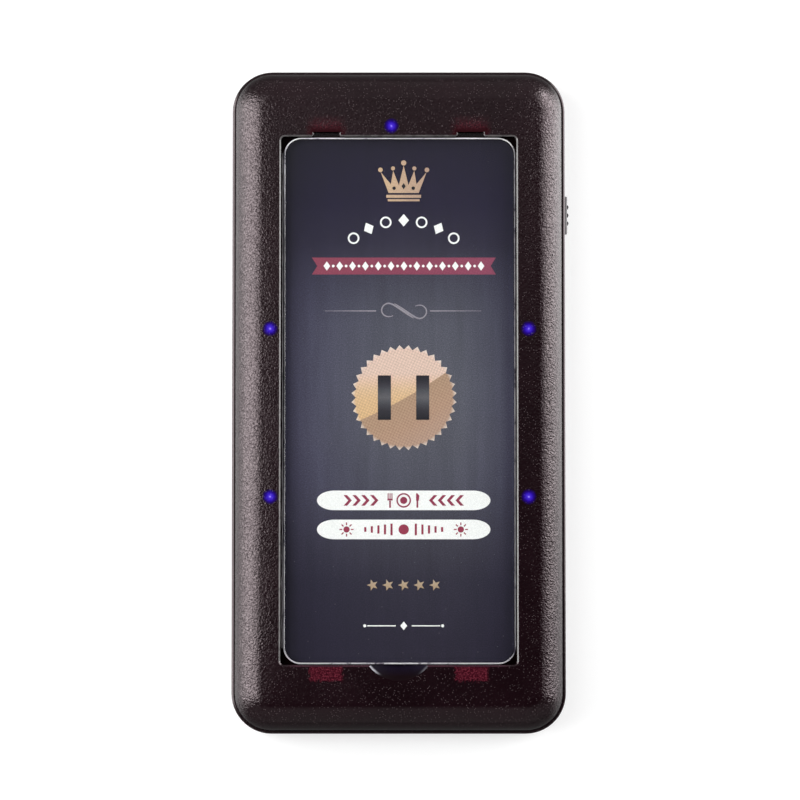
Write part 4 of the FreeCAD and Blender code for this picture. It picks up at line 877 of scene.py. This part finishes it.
def windowMaterials():
    clear, tree = bareMaterial("clearWindow")
    through = addNode(tree, "BsdfTransparent", {"Color": (0.985, 0.99, 0.985)})
    smear = noise(tree, objectPlace(tree), 90, 3)
    gloss = addNode(tree, "BsdfGlossy", {"Color": (1, 1, 1), "Roughness": span(tree, smear, 0.3, 0.7, 0.04, 0.12)})
    # the mirror lies on the outer side only, and light passes it from below
    outer = calc(tree, "SUBTRACT", 1.0, addNode(tree, "NewGeometry").outputs["Backfacing"])
    mirror = times(tree, addNode(tree, "Fresnel", {"IOR": 1.49}).outputs[0], outer)
    both = addNode(tree, "MixShader", {"Fac": mirror, 1: through.outputs[0], 2: gloss.outputs[0]})
    tree.links.new(both.outputs[0], tree.nodes["Material Output"].inputs["Surface"])
    edge, tree, shader = newMaterial("cutEdgePaintedHighlight")
    place = objectPlace(tree)
    chips = noise(tree, place, 260, 4, 0.7)
    axes = axesOf(tree, place)
    along = calc(tree, "ABSOLUTE", axes["Y"])
    atEnds = span(tree, along, 49 * mm, 51.5 * mm)
    # the cut edge is frosted, and its pale tone is partly a painted highlight, whiter at both ends
    tone = ramp(tree, chips, [(0.36, (0.10, 0.09, 0.14)), (0.46, (0.62, 0.60, 0.66)), (0.6, (0.90, 0.89, 0.92))])
    white = ramp(tree, chips, [(0.37, (0.12, 0.09, 0.14)), (0.44, (0.85, 0.82, 0.88)), (0.6, (1.0, 1.0, 1.0))])
    # the steep faces at the foot end are painted dark, as shade
    turned = axesOf(tree, addNode(tree, "NewGeometry").outputs["True Normal"])["Z"]
    paintedShadeWall = times(tree, span(tree, turned, 0.30, 0.10), calc(tree, "LESS_THAN", axes["Y"], -50 * mm))
    white = mixColour(tree, paintedShadeWall, white, (0.020, 0.010, 0.014))
    # the left edge is painted darker between its ends, as shade
    shade = calc(tree, "ADD", span(tree, along, 30 * mm, 46 * mm, 0.0, 0.6),
                 span(tree, noise(tree, place, 60, 2), 0.35, 0.65, 0.05, 0.38))
    shade = calc(tree, "MAXIMUM", calc(tree, "GREATER_THAN", axes["X"], 0.0), shade)
    tone = mixColour(tree, 1.0, tone, shade, "MULTIPLY")
    tree.links.new(mixColour(tree, atEnds, tone, white), shader.inputs["Base Color"])
    tree.links.new(span(tree, chips, 0.3, 0.7, 0.5, 0.25), shader.inputs["Roughness"])
    shader.inputs["Specular IOR Level"].default_value = 0.9
    bump(tree, shader, chips, 0.6, 0.05 * mm)
    back, tree = bareMaterial("clearWindowBack")
    through = addNode(tree, "BsdfTransparent", {"Color": (0.99, 0.99, 0.99)})
    tree.links.new(through.outputs[0], tree.nodes["Material Output"].inputs["Surface"])
    return clear, edge, back


def windowPart(face):
    if abs(face.normal.z) < 0.96:
        return 1
    return 0 if face.normal.z > 0 else 2


corner = {"from": 2.8, "to": 3.5, "halfWidth": 23.0, "top": 52.17, "foot": -52.17, "slack": 0.01}
windowShift = 0.2 * mm


def roundCorner(place):
    # a vertex of a corner moves out along its own ray to the larger radius
    x, y = place.x / mm, place.y / mm
    side, end = math.copysign(corner["halfWidth"], x), corner["top"] if y > 0 else corner["foot"]
    middle = Vector((side - math.copysign(corner["from"], x), end - math.copysign(corner["from"], y)))
    out = Vector((x, y)) - middle
    slack = corner["slack"]
    inside = out.x * side < -slack or out.y * end < -slack or out.length < 1.0
    if inside or abs(x) > abs(side) + slack or abs(y) > abs(end) + slack:
        return
    wide = middle - Vector((math.copysign(1, x), math.copysign(1, y))) * (corner["to"] - corner["from"])
    moved = wide + out.normalized() * (out.length + corner["to"] - corner["from"])
    place.x, place.y = moved.x * mm, moved.y * mm


clearWindow = mergedCopy("card_window", "clearWindow")
for v in clearWindow.data.vertices:
    roundCorner(v.co)
    v.co.x += windowShift  # it lies against the right side of its opening
dress(clearWindow, windowMaterials(), windowPart)
finishPiece(clearWindow, "case", "clear_plastic", "card_window")

bead = {"x": -22.98, "width": 0.13, "half": 49.0, "top": 13.50, "tall": 0.60,
        "deep": (0.055, 0.050, 0.056), "pale": (0.170, 0.160, 0.172)}


def makeBead():
    # thin grey line in the gap at the left of the window
    bm = bmesh.new()
    spot = (Matrix.Translation((bead["x"] * mm, 0, (bead["top"] - bead["tall"]) * mm))
            @ Matrix.Diagonal((bead["width"] * mm, 2 * bead["half"] * mm, 1, 1)))
    bmesh.ops.create_grid(bm, x_segments=3, y_segments=60, size=0.5, matrix=spot)
    top = raiseFaces(bm, bead["tall"] * mm)
    for v in bm.verts:
        v.co.x += (0.03 * math.sin(v.co.y / mm * 0.9) + 0.02 * math.sin(v.co.y / mm * 2.3)) * mm
    for v in top:
        v.co.z += 0.06 * mm * math.sin(v.co.y / mm * 1.7)
    bmesh.ops.recalc_face_normals(bm, faces=bm.faces)
    material, tree, shader = newMaterial("glueFinish")
    lumps = noise(tree, objectPlace(tree), 500, 3, 0.6)
    tree.links.new(ramp(tree, lumps, [(0.35, bead["deep"]), (0.65, bead["pale"])]), shader.inputs["Base Color"])
    shader.inputs["Roughness"].default_value = 0.3
    shader.inputs["Coat Weight"].default_value = 0.4
    bump(tree, shader, lumps, 0.7, 0.04 * mm)
    piece = pieceFrom(bm, "gapLine", material)
    smoothFaces(piece.data, 50)
    finishPiece(piece, "case", "clear_plastic")


makeBead()
print("window made")


def simpleLook(name, look):
    material, tree, shader = newMaterial(name)
    place = objectPlace(tree)
    grain = noise(tree, place, look["grain"], 3, 0.6)
    low, high = look["colours"]
    tree.links.new(ramp(tree, grain, [(0.3, low), (0.7, high)]), shader.inputs["Base Color"])
    rough = look["roughness"]
    tree.links.new(span(tree, grain, 0.3, 0.7, rough - 0.06, rough + 0.06), shader.inputs["Roughness"])
    shader.inputs["Metallic"].default_value = look.get("metal", 0.0)
    bump(tree, shader, grain, 0.6, look.get("depth", 0.01) * mm)
    return material


looks = {
    "foil": {"colours": ((0.60, 0.61, 0.62), (0.72, 0.72, 0.73)), "roughness": 0.32, "grain": 300, "metal": 0.9,
             "depth": 0.05},
    "foam_tape": {"colours": ((0.42, 0.42, 0.40), (0.60, 0.60, 0.58)), "roughness": 0.85, "grain": 1600, "depth": 0.05},
    "connector_plastic": {"colours": ((0.66, 0.64, 0.58), (0.74, 0.72, 0.66)), "roughness": 0.45, "grain": 900},
    "red_wire": {"colours": ((0.42, 0.020, 0.018), (0.52, 0.030, 0.026)), "roughness": 0.42, "grain": 700},
    "black_wire": {"colours": ((0.012, 0.012, 0.012), (0.022, 0.022, 0.022)), "roughness": 0.42, "grain": 700},
    "steel": {"colours": ((0.42, 0.42, 0.43), (0.58, 0.58, 0.59)), "roughness": 0.30, "grain": 1500, "metal": 1.0},
    "heavy_metal": {"colours": ((0.22, 0.21, 0.20), (0.32, 0.31, 0.30)), "roughness": 0.42, "grain": 1400,
                    "metal": 1.0},
    "soft_rubber": {"colours": ((0.015, 0.015, 0.015), (0.028, 0.028, 0.028)), "roughness": 0.75, "grain": 1200},
    "black_plastic": {"colours": ((0.014, 0.014, 0.015), (0.026, 0.026, 0.027)), "roughness": 0.48, "grain": 1500},
    "felt": {"colours": ((0.010, 0.010, 0.010), (0.035, 0.035, 0.036)), "roughness": 0.95, "grain": 2600,
             "depth": 0.08},
    "ceramic_body": {"colours": ((0.030, 0.030, 0.034), (0.060, 0.058, 0.060)), "roughness": 0.40, "grain": 2200},
    "can_metal": {"colours": ((0.52, 0.51, 0.48), (0.66, 0.65, 0.62)), "roughness": 0.34, "grain": 900, "metal": 1.0},
    "contact_gold": {"colours": ((0.72, 0.50, 0.20), (0.86, 0.62, 0.28)), "roughness": 0.25, "grain": 1100,
                     "metal": 1.0},
    "light_lens": {"colours": ((0.70, 0.72, 0.80), (0.80, 0.82, 0.90)), "roughness": 0.25, "grain": 800},
}
made = {slot: simpleLook(slot + "Finish", look) for slot, look in looks.items()}


def knobPlastic():
    # pale below its dark ribs, the pale being a painted highlight of the light from the right
    material, tree, shader = newMaterial("knobFinish")
    place = objectPlace(tree)
    grain = noise(tree, place, 1800, 3, 0.6)
    across = axesOf(tree, place)["X"]
    body = ramp(tree, grain, [(0.3, (0.24, 0.23, 0.235)), (0.7, (0.32, 0.30, 0.31))])
    ribs = ramp(tree, grain, [(0.3, (0.018, 0.017, 0.018)), (0.7, (0.035, 0.033, 0.034))])
    paintedSheenToRibs = span(tree, across, 33.70 * mm, 33.78 * mm)
    tree.links.new(mixColour(tree, paintedSheenToRibs, body, ribs), shader.inputs["Base Color"])
    shader.inputs["Roughness"].default_value = 0.4
    bump(tree, shader, grain, 0.6, 0.01 * mm)
    return material


def boardLaminate():
    # green solder mask over copper tracks, with bare gold vias
    material, tree, shader = newMaterial("boardFinish")
    place = objectPlace(tree)
    tracks = addNode(tree, "TexBrick", {"Vector": place, "Scale": 240.0, "Mortar Size": 0.05, "Mortar Smooth": 0.2,
                                        "Brick Width": 1.1, "Row Height": 0.36})
    line = tracks.outputs["Fac"]
    grain = noise(tree, place, 500, 3, 0.6)
    mask = ramp(tree, grain, [(0.3, (0.006, 0.050, 0.024)), (0.7, (0.010, 0.070, 0.034))])
    colour = mixColour(tree, line, mask, (0.020, 0.125, 0.055))
    hole = span(tree, cells(tree, place, 210), 0.045, 0.060, 1.0, 0.0)
    colour = mixColour(tree, hole, colour, (0.72, 0.50, 0.20))
    tree.links.new(colour, shader.inputs["Base Color"])
    shader.inputs["Roughness"].default_value = 0.34
    bump(tree, shader, calc(tree, "ADD", line, hole), 0.8, 0.02 * mm)
    return material


made["knob_plastic"] = knobPlastic()
made["board_laminate"] = boardLaminate()
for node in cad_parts.values():
    for index, old in enumerate(node.data.materials):
        slot = old.name.split(".")[0]
        if slot in made:
            node.data.materials[index] = made[slot]
print("materials given")
